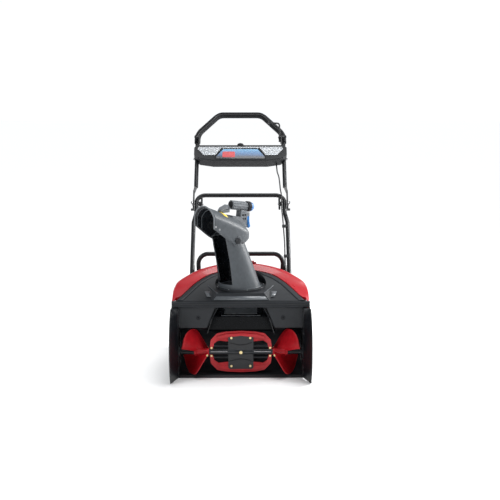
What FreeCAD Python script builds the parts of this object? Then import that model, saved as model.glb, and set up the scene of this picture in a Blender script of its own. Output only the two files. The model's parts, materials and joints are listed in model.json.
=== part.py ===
# Single-stage battery snow blower, 53 cm class, as an assembly of separate parts.
# Row frame in millimetres: +Z up, the intake faces -Y, +X to the right of someone facing the intake.
# Everything is modelled with Y measured from the front lower corner of the side plates and is moved
# by MIDDLE_Y when it is saved, so that the origin is on the ground under the middle of the machine.

import math
import os

import FreeCAD
import Part

V = FreeCAD.Vector
X_AXIS = V(1, 0, 0)
Y_AXIS = V(0, 1, 0)
Z_AXIS = V(0, 0, 1)

# Driving dimensions of the whole machine
MIDDLE_Y = 544.8          # from the front corner to the middle of the overall length
WALL = 3.0                # plastic and sheet walls
GAP = 0.4                 # clearance between pieces that move past each other
SIDE_X = 255.0            # inner face of a side plate
OUTER_X = 284.0           # outermost face of the side covers
FLARE_X = 285.0           # outermost face of the side plates' flared noses

# Rotor
ROTOR_Y, ROTOR_Z = 112.0, 102.0
ROTOR_R = 93.0            # sweep of the flights
PADDLE_R = 88.0           # sweep of the centre paddles
TUNNEL_R = 97.5          # inner radius of the housing behind the rotor
SHAFT_R = 9.0
TIP_X = 135.0             # where flights and paddles meet
BEARING_R = 21.0

# Hood and chute
LIP_Y, LIP_Z = 106.0, 318.0
HOOD_PEAK_Y, HOOD_PEAK_Z = 332.0, 402.0
RING_Y, RING_Z = 235.0, 357.0
RING_R = 106.0
CHUTE_TURN = -52.0        # degrees about +Z from straight ahead, as it stands
PIVOT_OUT, PIVOT_Z = 72.0, 562.0   # deflector pivot, measured from the chute axis along the throw

# Drive behind the right side plate
PULLEY_X = 262.0
BELT_W = 12.0
ROTOR_PULLEY_R = 33.0
MOTOR_PULLEY_R = 12.0
IDLER_R = 12.0
MOTOR_Y, MOTOR_Z = 268.0, 190.0

# Wheels
WHEEL_R = 101.0
WHEEL_W = 44.0
WHEEL_X = 250.0
AXLE_Y = 470.0
AXLE_R = 6.5

# Handle: a flat frame that leans back from HANDLE_Y, HANDLE_Z. In the flat frame x is across,
# y is the distance up the handle and z is out of its front.
HANDLE_Y, HANDLE_Z = 480.0, 340.0
HANDLE_LEAN = 42.0
TUBE_R = 10.0
GRIP_R = 15.0
LEG_X = 220.0             # lower legs
LEG_TOP_X = 209.0         # the same legs where the upper handle bolts on
CROSS_S = 452.0           # cross tube of the lower handle
FOLD_S = 402.0            # bolt that the upper handle folds about
UPPER_X = 214.0           # upper handle tubes
LOOP_S = 952.0            # top of the handle loop
CONSOLE_LOW, CONSOLE_HIGH = 634.0, 731.0
BAIL_S, BAIL_N = 786.0, 25.0
BAIL_REST = 14.0          # degrees that the released bail stands off the grip


# ---------- helpers ----------

def box(x0, x1, y0, y1, z0, z1):
    """A box between three pairs of limits."""
    return Part.makeBox(x1 - x0, y1 - y0, z1 - z0, V(x0, y0, z0))


def rod(start, end, radius):
    """A round bar from one point to another."""
    along = end.sub(start)
    return Part.makeCylinder(radius, along.Length, start, along)


def rod_x(x0, x1, y, z, radius):
    """A round bar along X."""
    return Part.makeCylinder(radius, x1 - x0, V(x0, y, z), X_AXIS)


def ring_x(x0, x1, y, z, outer, inner):
    """A round sleeve along X."""
    return rod_x(x0, x1, y, z, outer).cut(rod_x(x0 - 1, x1 + 1, y, z, inner))


def slab_x(points, x0, x1):
    """A closed outline of (y, z) points, extruded along X."""
    loop = [V(x0, y, z) for y, z in points]
    return Part.Face(Part.makePolygon(loop + loop[:1])).extrude(V(x1 - x0, 0, 0))


def slab_y(points, y0, y1):
    """A closed outline of (x, z) points, extruded along Y."""
    loop = [V(x, y0, z) for x, z in points]
    return Part.Face(Part.makePolygon(loop + loop[:1])).extrude(V(0, y1 - y0, 0))


def slab_z(points, z0, z1):
    """A closed outline of (x, y) points, extruded along Z."""
    loop = [V(x, y, z0) for x, y in points]
    return Part.Face(Part.makePolygon(loop + loop[:1])).extrude(V(0, 0, z1 - z0))


def rounded(shape, radius, axis=None):
    """Fillets every edge, or only the straight edges along an axis."""
    edges = shape.Edges
    if axis is not None:
        edges = [e for e in edges if isinstance(e.Curve, Part.Line)
                 and abs(abs(e.tangentAt(e.FirstParameter).dot(axis)) - 1) < 1e-6]
    return shape.makeFillet(radius, edges)


def fused(shapes):
    """One solid out of touching shapes."""
    whole = shapes[0].multiFuse(shapes[1:]) if len(shapes) > 1 else shapes[0]
    return whole.removeSplitter()


def triangle(a, b, c):
    """A flat three-sided face."""
    return Part.Face(Part.makePolygon([a, b, c, a]))


def closed(faces):
    """A solid bounded by faces that share their edges."""
    solid = Part.Solid(Part.Shell(faces))
    if solid.Volume < 0:
        solid.reverse()
    return solid


def mirrored(shape):
    """The same piece on the other side of the machine."""
    return shape.mirror(V(0, 0, 0), X_AXIS)


def bent_path(points, radii):
    """A wire of straight runs joined by tangent arcs; one radius for each inner point."""
    edges = []
    start = points[0]
    for corner, after, radius in zip(points[1:-1], points[2:], radii):
        back = start.sub(corner).normalize()
        ahead = after.sub(corner).normalize()
        half = math.acos(max(-1.0, min(1.0, back.dot(ahead)))) / 2
        reach = radius / math.tan(half)
        p = corner.add(V(back).multiply(reach))
        q = corner.add(V(ahead).multiply(reach))
        to_centre = back.add(ahead).normalize().multiply(radius / math.sin(half))
        centre = corner.add(to_centre)
        middle = centre.sub(V(to_centre).normalize().multiply(radius))
        edges.append(Part.LineSegment(start, p).toShape())
        edges.append(Part.Arc(p, middle, q).toShape())
        start = q
    edges.append(Part.LineSegment(start, points[-1]).toShape())
    return Part.Wire(edges)


def tube_along(path, radius):
    """A solid round bar that follows a wire."""
    first = path.Edges[0]
    start = first.valueAt(first.FirstParameter)
    direction = first.tangentAt(first.FirstParameter)
    profile = Part.Wire([Part.makeCircle(radius, start, direction)])
    return path.makePipeShell([profile], True, True)


def on_handle(shape):
    """Takes a piece from the handle's flat frame to its place on the machine."""
    moved = shape.copy()
    moved.rotate(V(0, 0, 0), X_AXIS, 90 - HANDLE_LEAN)
    moved.translate(V(0, HANDLE_Y, HANDLE_Z))
    return moved


def on_chute(shape):
    """Takes a piece from the chute's own frame, throwing along -Y about the origin, to its place."""
    moved = shape.copy()
    moved.rotate(V(0, 0, 0), Z_AXIS, CHUTE_TURN)
    moved.translate(V(0, RING_Y, 0))
    return moved


def save(name, shape):
    """Writes one node, moved to the row frame."""
    moved = shape.copy()
    moved.translate(V(0, -MIDDLE_Y, 0))
    solids = moved.Solids
    if not solids or not all(s.isValid() for s in solids):
        print("BAD", name, len(solids))
    out = solids[0] if len(solids) == 1 else Part.makeCompound(solids)
    out.exportStep("parts/" + name + ".step")
    size = out.BoundBox
    print("%-22s solids %2d  volume %9.0f  Y %7.1f..%7.1f  Z %7.1f..%7.1f" % (
        name, len(solids), sum(s.Volume for s in solids), size.YMin, size.YMax, size.ZMin, size.ZMax))


# ---------- intake housing ----------

def around_rotor(radius, degrees):
    """A point (y, z) around the rotor's axis; 0 degrees is straight behind, 90 above."""
    a = math.radians(degrees)
    return ROTOR_Y + radius * math.cos(a), ROTOR_Z + radius * math.sin(a)


PANEL_LOW = 204.0         # lower edge of the flat panels over the flights
PANEL_TOP_X, PANEL_LOW_X = 93.0, 141.0


def rotor_housing():
    """The tunnel behind the rotor and the flat panels over the flights, open in the middle."""
    def arc_points(radius, first, last):
        a, b, c = (around_rotor(radius, d) for d in (first, (first + last) / 2, last))
        return [V(-SIDE_X + GAP, *p) for p in (a, b, c)]

    inner = arc_points(TUNNEL_R, -97, 80)
    outer = arc_points(TUNNEL_R + WALL, -97, 80)
    face = Part.Face(Part.Wire([
        Part.Arc(*inner).toShape(),
        Part.LineSegment(inner[2], outer[2]).toShape(),
        Part.Arc(*outer[::-1]).toShape(),
        Part.LineSegment(outer[0], inner[0]).toShape()]))
    width = 2 * (SIDE_X - GAP)
    tunnel = face.extrude(V(width, 0, 0))
    top_y, top_z = around_rotor(TUNNEL_R, 80)
    roof = slab_x([(LIP_Y + 8, PANEL_LOW), (top_y + 3, top_z - 1), (top_y + 3, top_z + WALL - 1),
                   (LIP_Y + 8, PANEL_LOW + WALL)], -SIDE_X + GAP, SIDE_X - GAP)
    panel = box(-SIDE_X + GAP, SIDE_X - GAP, LIP_Y + 4, LIP_Y + 4 + WALL, PANEL_LOW, LIP_Z - 30)
    panel = panel.fuse(box(-SIDE_X + GAP, SIDE_X - GAP, LIP_Y + 4, LIP_Y + 12, PANEL_LOW, PANEL_LOW + WALL))
    mouth = slab_y([(-PANEL_LOW_X, PANEL_LOW - 40), (PANEL_LOW_X, PANEL_LOW - 40), (PANEL_LOW_X, PANEL_LOW),
                    (PANEL_TOP_X, LIP_Z), (-PANEL_TOP_X, LIP_Z), (-PANEL_LOW_X, PANEL_LOW)],
                   ROTOR_Y - 80, ROTOR_Y + 160)
    upper = box(-SIDE_X, SIDE_X, 0, 400, ROTOR_Z + 66, 400)
    shell = fused([tunnel, roof, panel])
    return shell.cut(mouth.common(upper))


def throat_loop(inset, z, half_low, half_high, front, back):
    """A level outline of the discharge throat; it narrows in X towards the front."""
    points = [(-half_low + inset, front + inset), (half_low - inset, front + inset),
              (half_high - inset, back - inset), (-half_high + inset, back - inset)]
    loop = [V(x, y, z) for x, y in points]
    return Part.makePolygon(loop + loop[:1])


def discharge_throat():
    """The funnel that lifts snow from the rotor up to the chute ring, open at the front below the lip."""
    levels = [(ROTOR_Z + 67, PANEL_LOW_X - GAP, PANEL_LOW_X - GAP, 116, 214),
              (PANEL_LOW + 16, 128, 118, 116, 232),
              (RING_Z - 34, 84, 84, 150, 318)]

    def loft(inset, extra):
        wires = [throat_loop(inset, z + d, *rest) for (z, *rest), d in zip(levels, (-extra, 0, extra))]
        return Part.makeLoft(wires, True, True)

    funnel = loft(0, 0).cut(loft(WALL, 0.01))
    window = slab_y([(-PANEL_LOW_X, 150), (PANEL_LOW_X, 150), (PANEL_LOW_X, PANEL_LOW),
                     (PANEL_TOP_X, LIP_Z - 30), (-PANEL_TOP_X, LIP_Z - 30), (-PANEL_LOW_X, PANEL_LOW)],
                    100, 150)
    return funnel.cut(window)


def side_plate():
    """Right side plate: a flat wall beside the rotor with a flared nose in front."""
    flat = slab_x([(66, 4), (250, 4), (326, 82), (352, 112), (352, 208), (398, 226), (398, 248), (300, 266),
                   (240, 276), (112, 288), (66, 288)], SIDE_X, SIDE_X + WALL)
    back = Part.LineSegment(V(SIDE_X, 67, 4), V(SIDE_X, 67, 288)).toShape()
    nose = Part.Arc(V(FLARE_X - WALL, 2, 0.5), V(FLARE_X - WALL, -38, 132), V(FLARE_X - WALL, 58, 296)).toShape()
    flare = Part.makeRuledSurface(back, nose).extrude(V(WALL, 0, 0))
    plate = flat.fuse(flare)
    plate = plate.cut(rod_x(SIDE_X - 5, SIDE_X + 10, ROTOR_Y, ROTOR_Z, BEARING_R))
    plate = plate.cut(rod_x(SIDE_X - 5, SIDE_X + 10, MOTOR_Y, MOTOR_Z, 9))
    return plate.removeSplitter()


def skid():
    """Right wear shoe: the foot that the intake rests on, bolted outside the side plate."""
    foot = slab_x([(74, 0), (236, 0), (250, 14), (250, 30), (74, 30)], SIDE_X + WALL, SIDE_X + WALL + 9)
    foot = foot.fuse(box(SIDE_X, SIDE_X + WALL + 9, 80, 230, 0, 3.6))
    return foot.removeSplitter()


def side_cover():
    """Outer shell over a side plate: a shallow tray, open towards the plate."""
    outline = [(70.5, 289), (127, 289), (240, 280), (300, 270), (402, 252), (402, 223), (356, 205), (356, 110),
               (330, 80), (246, 34), (78, 34), (70.5, 60)]
    outer = slab_x(outline, SIDE_X + WALL + GAP, OUTER_X)
    inner_points = [(y + (236 - y) * 0.021, z + (166 - z) * 0.027) for y, z in outline]
    inner = slab_x(inner_points, SIDE_X, OUTER_X - WALL)
    return outer.cut(inner)


def intake_lip():
    """The rounded cross bar along the top front edge of the intake."""
    bar = slab_x([(LIP_Y - 8, LIP_Z - 26), (LIP_Y + 3, LIP_Z - 28), (LIP_Y + 20, LIP_Z - 22), (LIP_Y + 20, LIP_Z - 5),
                  (LIP_Y + 8, LIP_Z - 1), (LIP_Y - 2, LIP_Z - 4)], -OUTER_X + 1, OUTER_X - 1)
    return rounded(bar, 3.0, X_AXIS)


def scraper_bar():
    """Replaceable plastic scraper along the floor behind the rotor's lowest point."""
    return slab_x([(74, 0.8), (99.4, 0.8), (99.4, 4.4), (74, 2.8)], -SIDE_X + 0.3, SIDE_X - 0.3)


# ---------- rotor ----------

def flight(side, phase):
    """One curved flight blade: a ribbon that climbs around the shaft while it runs outwards."""
    steps = 14
    edges = []
    for i in range(steps + 1):
        t = i / steps
        angle = math.radians(-4 + 158 * t + phase)
        big = ROTOR_R * (0.45 + 0.55 * min(1.0, t / 0.4)) * (1.0 - 0.30 * max(0.0, (t - 0.80) / 0.20) ** 2)
        small = SHAFT_R + 3.0
        x_out = TIP_X - 4 + 106 * (0.42 * t + 0.58 * math.sin(t * math.pi / 2) ** 1.2)
        x_in = TIP_X + 3 + 50 * t
        c, s = math.cos(angle), math.sin(angle)
        outer = V(side * x_out, ROTOR_Y - big * c, ROTOR_Z - big * s)
        inner = V(side * x_in, ROTOR_Y - small * c, ROTOR_Z - small * s)
        thick = V(side * 4.0, 0, 0)
        edges.append((outer, inner, inner.add(thick), outer.add(thick)))
    faces = []
    for one, two in zip(edges, edges[1:]):
        for k in range(4):
            a, b, c, d = one[k], one[(k + 1) % 4], two[(k + 1) % 4], two[k]
            faces.append(triangle(a, b, d))
            faces.append(triangle(b, c, d))
    for end in (edges[0], edges[-1]):
        faces.append(triangle(end[0], end[1], end[2]))
        faces.append(triangle(end[0], end[2], end[3]))
    return closed(faces)


def flights(side):
    """Both blades of one end of the rotor on their hub sleeve."""
    x0, x1 = TIP_X - 3, TIP_X + 50
    hub = ring_x(x0, x1, ROTOR_Y, ROTOR_Z, SHAFT_R + 5, SHAFT_R)
    collar = ring_x(x1 - 1, x1 + 8, ROTOR_Y, ROTOR_Z, SHAFT_R + 8, SHAFT_R)
    if side < 0:
        hub, collar = mirrored(hub), mirrored(collar)
    whole = hub.fuse(collar).multiFuse([flight(side, 0), flight(side, 180)])
    return whole.cut(rod_x(-300, 300, ROTOR_Y, ROTOR_Z, SHAFT_R))


def rotor_shaft():
    """The shaft through both side plates, with its right end in the belt cover."""
    thin = rod_x(-SIDE_X - 2, PULLEY_X + BELT_W + 4, ROTOR_Y, ROTOR_Z, SHAFT_R)
    thick = rod_x(-TIP_X + 3.2, TIP_X - 3.2, ROTOR_Y, ROTOR_Z, SHAFT_R + 2.9)
    return thin.fuse(thick).removeSplitter()


PADDLE_LOW = 44.0


def paddle(up):
    """One red centre paddle: a bowed strip on two arms that reach in to the shaft's sleeves."""
    s = 1 if up else -1
    outer = [(-TIP_X + 6, 12.2), (-124, 50), (-98, 78), (-60, 85), (0, PADDLE_R), (60, 85), (98, 78), (124, 50),
             (TIP_X - 6, 12.2)]
    inner = [(TIP_X - 19, 12.2), (110, 36), (92, 48), (56, PADDLE_LOW), (-56, PADDLE_LOW), (-92, 48), (-110, 36),
             (-TIP_X + 19, 12.2)]
    plate = slab_y([(x, ROTOR_Z + s * z) for x, z in outer + inner], ROTOR_Y - 2.5, ROTOR_Y + 2.5)
    lean = slab_y([(x, ROTOR_Z + s * z) for x, z in
                   [(-96, 66), (-62, 76), (0, 80), (62, 76), (96, 66), (96, 58), (0, 70), (-96, 58)]],
                  ROTOR_Y - s * 2.5 - 7, ROTOR_Y - s * 2.5 + 7)
    return plate.fuse(lean).removeSplitter()


def centre_plate():
    """Black plate bolted across the sleeve; both paddles are riveted to it."""
    plate = box(-52, 52, ROTOR_Y - 6.5, ROTOR_Y - 2.6, ROTOR_Z - 73, ROTOR_Z + 73)
    plate = rounded(plate, 9, Y_AXIS)
    back = box(-52, 52, ROTOR_Y + 2.6, ROTOR_Y + 6.5, ROTOR_Z - 73, ROTOR_Z + 73)
    back = rounded(back, 9, Y_AXIS)
    sleeve = rod_x(-60, 60, ROTOR_Y, ROTOR_Z, SHAFT_R + 2.9)
    core = box(-52, 52, ROTOR_Y - 6.5, ROTOR_Y + 6.5, ROTOR_Z - PADDLE_LOW + 1, ROTOR_Z + PADDLE_LOW - 1)
    whole = fused([plate, back, core]).cut(sleeve)
    return whole.cut(paddle(True)).cut(paddle(False))


def rotor_fasteners():
    """Four rivets through the plate and paddles, and the centre bolt."""
    pieces = []
    for x in (-39, 39):
        for z in (-60, 60):
            pieces.append(Part.makeCylinder(4.5, 2.5, V(x, ROTOR_Y - 6.5, ROTOR_Z + z), V(0, -1, 0)))
    pieces.append(Part.makeCylinder(6.5, 5, V(0, ROTOR_Y - SHAFT_R - 2.9 + 1.2, ROTOR_Z), V(0, -1, 0)))
    for x in (-TIP_X + 12, TIP_X - 12):
        for s in (-1, 1):
            pieces.append(Part.makeCylinder(4, 3, V(x - (2 if x > 0 else -2), ROTOR_Y - 2.5, ROTOR_Z + s * 17), V(0, -1, 0)))
    sleeve = rod_x(-200, 200, ROTOR_Y, ROTOR_Z, SHAFT_R + 2.9)
    return Part.makeCompound([p.cut(sleeve) for p in pieces])


def bearing():
    """Flanged ball bearing in a side plate."""
    race = ring_x(SIDE_X - 4, SIDE_X + WALL + 2, ROTOR_Y, ROTOR_Z, BEARING_R - 0.05, SHAFT_R + 0.05)
    flange = ring_x(SIDE_X - 4, SIDE_X - 0.2, ROTOR_Y, ROTOR_Z, BEARING_R + 7, SHAFT_R + 0.05)
    return race.fuse(flange).removeSplitter()


# ---------- drive ----------

def pulley(y, z, radius, bore, x0=PULLEY_X):
    """A flat-belt pulley with two low rims."""
    body = ring_x(x0, x0 + BELT_W, y, z, radius, bore)
    rims = [ring_x(x0 + d, x0 + d + 1.5, y, z, radius + 3, bore) for d in (-1.5, BELT_W)]
    return fused([body] + rims)


def belt():
    """Ribbed belt around the rotor and motor pulleys, pressed in by the idler on its slack side."""
    dy, dz = MOTOR_Y - ROTOR_Y, MOTOR_Z - ROTOR_Z
    span = math.hypot(dy, dz)
    lean = math.atan2(dz, dy)
    spread = math.acos((ROTOR_PULLEY_R - MOTOR_PULLEY_R) / span)

    def outline(extra):
        big, small = ROTOR_PULLEY_R + extra, MOTOR_PULLEY_R + extra

        def at(y, z, r, a):
            return V(PULLEY_X + 1, y + r * math.cos(a), z + r * math.sin(a))

        top_big = at(ROTOR_Y, ROTOR_Z, big, lean + spread)
        low_big = at(ROTOR_Y, ROTOR_Z, big, lean - spread)
        top_small = at(MOTOR_Y, MOTOR_Z, small, lean + spread)
        low_small = at(MOTOR_Y, MOTOR_Z, small, lean - spread)
        return Part.Face(Part.Wire([
            Part.Arc(low_big, at(ROTOR_Y, ROTOR_Z, big, lean + math.pi), top_big).toShape(),
            Part.LineSegment(top_big, top_small).toShape(),
            Part.Arc(top_small, at(MOTOR_Y, MOTOR_Z, small, lean), low_small).toShape(),
            Part.LineSegment(low_small, low_big).toShape()]))

    width = V(BELT_W - 2, 0, 0)
    return outline(3.3).extrude(width).cut(outline(0.3).extrude(width))


def idler_place():
    """Where the idler's rim just clears the outside of the belt's lower run."""
    dy, dz = MOTOR_Y - ROTOR_Y, MOTOR_Z - ROTOR_Z
    span = math.hypot(dy, dz)
    lean = math.atan2(dz, dy)
    spread = math.acos((ROTOR_PULLEY_R - MOTOR_PULLEY_R) / span)
    a = lean - spread
    mix = 0.55
    y = ROTOR_Y + mix * dy + ((1 - mix) * ROTOR_PULLEY_R + mix * MOTOR_PULLEY_R + 3.3 + IDLER_R + 3.3) * math.cos(a)
    z = ROTOR_Z + mix * dz + ((1 - mix) * ROTOR_PULLEY_R + mix * MOTOR_PULLEY_R + 3.3 + IDLER_R + 3.3) * math.sin(a)
    return y, z


def idler_arm():
    """Tension arm on its pivot post, outside the idler."""
    y, z = idler_place()
    arm = slab_x([(y - 8, z - 9), (y + 58, z + 14), (y + 58, z + 30), (y - 8, z + 9)], SIDE_X + WALL + 0.1, PULLEY_X - 2)
    post = rod_x(PULLEY_X - 2, PULLEY_X + BELT_W + 2, y, z, 4)
    return arm.fuse(post).removeSplitter()


def drive_motor():
    """Brushless motor can with cooling ribs, lying across the machine behind the side plate."""
    can = rod_x(130, SIDE_X - 8, MOTOR_Y, MOTOR_Z, 42)
    cap = rod_x(120, 130, MOTOR_Y, MOTOR_Z, 36)
    flange = box(SIDE_X - 8, SIDE_X - 0.3, MOTOR_Y - 46, MOTOR_Y + 46, MOTOR_Z - 46, MOTOR_Z + 46)
    ribs = [ring_x(x, x + 3, MOTOR_Y, MOTOR_Z, 46, 41) for x in range(142, 236, 12)]
    bore = rod_x(200, SIDE_X + 5, MOTOR_Y, MOTOR_Z, 7.05)
    return fused([can, cap, flange] + ribs).cut(bore)


def motor_shaft():
    """Motor output shaft, from inside the can through the side plate to its pulley."""
    return rod_x(202, PULLEY_X + BELT_W + 4, MOTOR_Y, MOTOR_Z, 7)


# ---------- hood and shroud ----------

HOOD_SLOPE = (HOOD_PEAK_Z - LIP_Z) / (HOOD_PEAK_Y - LIP_Y)


def hood_z(y):
    """Height of the hood's top surface at a distance back."""
    return LIP_Z + (y - LIP_Y) * HOOD_SLOPE


# Half outlines from the outer foot to the middle; each row of the shroud has one point per column.
HOOD_EDGE = [(266, LIP_Y), (246, 140), (222, 182), (188, 238), (140, 292), (76, 322), (0, HOOD_PEAK_Y)]
RIM_TOP = [(284, 128, 302), (283, 176, 328), (278, 222, 346), (256, 262, 372), (174, 330, 404), (76, 362, 422),
           (0, 368, 424)]
SHOULDER = [(284, 300, 292), (282, 308, 318), (276, 316, 338), (254, 330, 362), (172, 378, 398), (76, 394, 417),
            (0, 396, 419)]
WAIST = [(198, 410, 262), (197, 412, 300), (194, 414, 330), (184, 416, 356), (146, 420, 386), (72, 424, 402),
         (0, 424, 404)]
TAIL = [(198, 520, 250), (197, 520, 282), (192, 520, 306), (176, 520, 328), (138, 520, 346), (72, 520, 355),
        (0, 520, 356)]
FEET = [298.5, 298.5, 276.0, 258.4, 240.0]     # lower edge of the shroud at each row


def shroud_block(inset):
    """The closed body bounded by the shroud's rows, drawn in by an inset, down to its foot."""
    def whole(row):
        right = [V(max(x - inset, 0) if x else 0, y, z - inset * 0.9) for x, y, z in row]
        left = [V(-p.x, p.y, p.z) for p in reversed(right[:-1])]
        return right + left

    front = [(x, y + (3 if y > LIP_Y else 0), hood_z(y)) for x, y in HOOD_EDGE]
    rows = [whole(row) for row in (front, RIM_TOP, SHOULDER, WAIST, TAIL)]
    feet = [z - inset for z in FEET]
    faces = []

    def add(a, b, c):
        if a.sub(b).cross(c.sub(b)).Length > 1e-6:
            faces.append(triangle(a, b, c))

    for one, two in zip(rows, rows[1:]):
        for a, b, c, d in zip(one, one[1:], two, two[1:]):
            add(a, b, c)
            add(b, d, c)
    lows = []
    for row, foot in zip(rows, feet):
        lows.append((V(row[0].x, row[0].y, foot), V(row[-1].x, row[-1].y, foot)))
    for one, two, low_one, low_two in zip(rows, rows[1:], lows, lows[1:]):
        for k, side in ((0, 0), (-1, 1)):
            add(low_one[side], one[k], low_two[side])
            add(one[k], two[k], low_two[side])
    for (a, b), (c, d) in zip(lows, lows[1:]):
        add(a, b, c)
        add(b, d, c)
    for row, (a, b) in ((rows[0], lows[0]), (rows[-1], lows[-1])):
        middle = V(0, a.y, a.z)
        chain = [a] + row + [b]
        for p, q in zip(chain, chain[1:]):
            add(middle, p, q)
        add(a, middle, b)
    return closed(faces)


BATTERY_X = 62.0
BATTERY_Y0, BATTERY_Y1 = 376.0, 448.0   # inside of the battery well


def shroud():
    """Red upper shroud: one arched shell, open below, with the battery opening in its back."""
    half = [(x + 1.6 + (18 if y == LIP_Y else 0), y + (1.6 if y > LIP_Y else -30)) for x, y in HOOD_EDGE]
    front = slab_z(half + [(-x, y) for x, y in reversed(half[:-1])], 200, 500)
    feet = [-60, LIP_Y, 128, 300, 410, 520, 700]
    lows = [FEET[0]] + FEET + [FEET[-1]]
    low = slab_x([(-60, 100), (700, 100)] + list(zip(feet, lows))[::-1], -300, 300)
    low.translate(V(0, 0, 0.01))
    lip = box(-300, 300, 60, LIP_Y + 20.6, 200, LIP_Z + 1)
    well = box(-BATTERY_X - 8, BATTERY_X + 8, 371, 455.5, 240, 480)
    shell = shroud_block(0).cut(shroud_block(WALL))
    for tool in (low, front, lip, well, carry_bar_solid(TUBE_R + 0.6)):
        shell = shell.cut(tool)
    return shell


def hood():
    """Black sloping top cover of the intake with the round seat for the chute."""
    right = [(max(x - 1.2, 0), y + (1.0 if y == LIP_Y else -1.2)) for x, y in HOOD_EDGE]
    loop = [V(x, y, hood_z(y)) for x, y in right]
    loop += [V(-x, y, hood_z(y)) for x, y in reversed(right[:-1])]
    sheet = Part.Face(Part.makePolygon(loop + loop[:1])).extrude(V(0, 0, -WALL))
    seat = Part.makeCylinder(RING_R + 8, 26, V(0, RING_Y, RING_Z - 34))
    bore = Part.makeCylinder(RING_R - 16, 60, V(0, RING_Y, RING_Z - 50))
    hollow = Part.makeCylinder(RING_R + 1.0, 60, V(0, RING_Y, RING_Z - 7.4))
    whole = fused([sheet, seat])
    return whole.cut(bore).cut(hollow)


# ---------- chute ----------

CHUTE_LEVELS = [(RING_Z - 3, 6.0, 88.0), (RING_Z + 100, 34.0, 75.0), (RING_Z + 217, 74.0, 63.6)]


def chute_flange():
    """Rotating ring that the chute stands on."""
    plate = Part.makeCylinder(RING_R, 6, V(0, 0, RING_Z - 7))
    return plate.cut(Part.makeCylinder(RING_R - 20, 20, V(0, 0, RING_Z - 12)))


def chute_loft(inset, stretch):
    """Solid leaning tube through the chute's level circles."""
    wires = []
    for i, (z, out, radius) in enumerate(CHUTE_LEVELS):
        z += stretch * (i - 1)
        wires.append(Part.Wire([Part.makeCircle(radius - inset, V(0, -out, z), Z_AXIS)]))
    return Part.makeLoft(wires, True, False)


def chute_body():
    """Leaning channel, open along the side that it throws to."""
    tube = chute_loft(0, 0).cut(chute_loft(WALL, 0.01))
    slot = box(-48, 48, -220, -30, RING_Z + 10, RING_Z + 230)
    slot = slot.cut(slab_x([(-220, RING_Z), (-30, RING_Z), (-30, RING_Z + 22), (-220, RING_Z + 8)], -60, 60))
    reach = slab_x([(-220, RING_Z), (-66, RING_Z), (-110, RING_Z + 230), (-220, RING_Z + 230)], -60, 60)
    body = tube.cut(slot.common(reach))
    body = body.cut(Part.makeCylinder(RING_R + 20, 9, V(0, 0, RING_Z - 10)))
    pins = rod_x(-80, 80, -PIVOT_OUT, PIVOT_Z, 4.05)
    return body.cut(pins)


def arch_wire(y, half, low, spring, top):
    """An arch outline across the chute: flat foot, straight sides and a round top."""
    a, b = V(-half, y, low), V(half, y, low)
    c, d = V(half, y, spring), V(-half, y, spring)
    crown = V(0, y, top)
    return Part.Wire([Part.LineSegment(a, b).toShape(), Part.LineSegment(b, c).toShape(),
                      Part.Arc(c, crown, d).toShape(), Part.LineSegment(d, a).toShape()])


DEFLECTOR_ROWS = [(8, 46, 573, 586, 604), (-8, 61, 561, 592, 624), (-44, 70, 548, 606, 646),
                  (-100, 72, 558, 628, 672), (-186, 67, 620, 664, 706)]


def deflector():
    """Hood that caps the chute and turns the snow outwards."""
    def loft(inset, drop):
        wires = []
        for i, (y, half, low, spring, top) in enumerate(DEFLECTOR_ROWS):
            if i == 0:
                y -= inset
            wires.append(arch_wire(y, half - inset, low - drop, spring, top - inset))
        return Part.makeLoft(wires, True, False)

    shell = loft(0, 0).cut(loft(WALL, 0.5 + WALL * 3))
    tail = box(-80, 80, -60, 20, 500, 566)
    shell = shell.cut(tail)
    return shell.cut(rod_x(-80, 80, -PIVOT_OUT, PIVOT_Z, 4.05))


def deflector_pins():
    """Two shoulder bolts with washers that the deflector tilts on."""
    pins = []
    for s in (1, -1):
        x0 = 58.0
        pin = rod_x(x0, 74, -PIVOT_OUT, PIVOT_Z, 4)
        head = rod_x(72.4, 78, -PIVOT_OUT, PIVOT_Z, 12)
        piece = pin.fuse(head)
        pins.append(piece if s > 0 else mirrored(piece))
    return Part.makeCompound(pins)


GRIP_Z = 694.0
TRIGGER_Y, TRIGGER_Z = 32.5, 656.0


def deflector_neck():
    """Upright stalk that joins the grip to the back of the deflector."""
    stalk = slab_x([(-14, 628), (18, 610), (24, 672), (-8, 680)], -17, 17)
    saddle = slab_x([(-62, 649.5), (12, 605), (18, 610), (-14, 650), (-60, 660)], -24, 24)
    ears = [box(x, x + 3, 20, 39, 648, 664) for x in (-11, 8)]
    pin = rod_x(-11, 11, TRIGGER_Y, TRIGGER_Z, 2)
    return fused([stalk, saddle] + ears + [pin]).cut(solid_deflector())


def solid_deflector():
    """The deflector's outer form with no hollow, for trimming what sits on it."""
    wires = [arch_wire(*row) for row in DEFLECTOR_ROWS]
    return Part.makeLoft(wires, True, False)


def grip_axis(d):
    """A point along the grip; d runs from its front end towards its rear end."""
    tilt = math.radians(9)
    return V(0, -52 + d * math.cos(tilt), GRIP_Z + 8 - d * math.sin(tilt))


def chute_grip():
    """Ribbed hand grip with its collar, stalk and thumb rest, one moulding."""
    core = rod(grip_axis(0), grip_axis(82), 17)
    ribs = []
    for i in range(10):
        a = math.radians(36 * i)
        rib = rod(grip_axis(3).add(V(17 * math.cos(a), 0, 17 * math.sin(a))),
                  grip_axis(79).add(V(17 * math.cos(a), 0, 17 * math.sin(a))), 3)
        ribs.append(rib)
    collar = rod(grip_axis(82), grip_axis(100), 21)
    arm = rod(V(0, -50, GRIP_Z - 2), V(0, -66, GRIP_Z - 12), 5)
    pad = box(-9, 9, -98, -64, GRIP_Z - 22, GRIP_Z - 10)
    return core.multiFuse([collar, deflector_neck(), arm, pad] + ribs)


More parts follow.
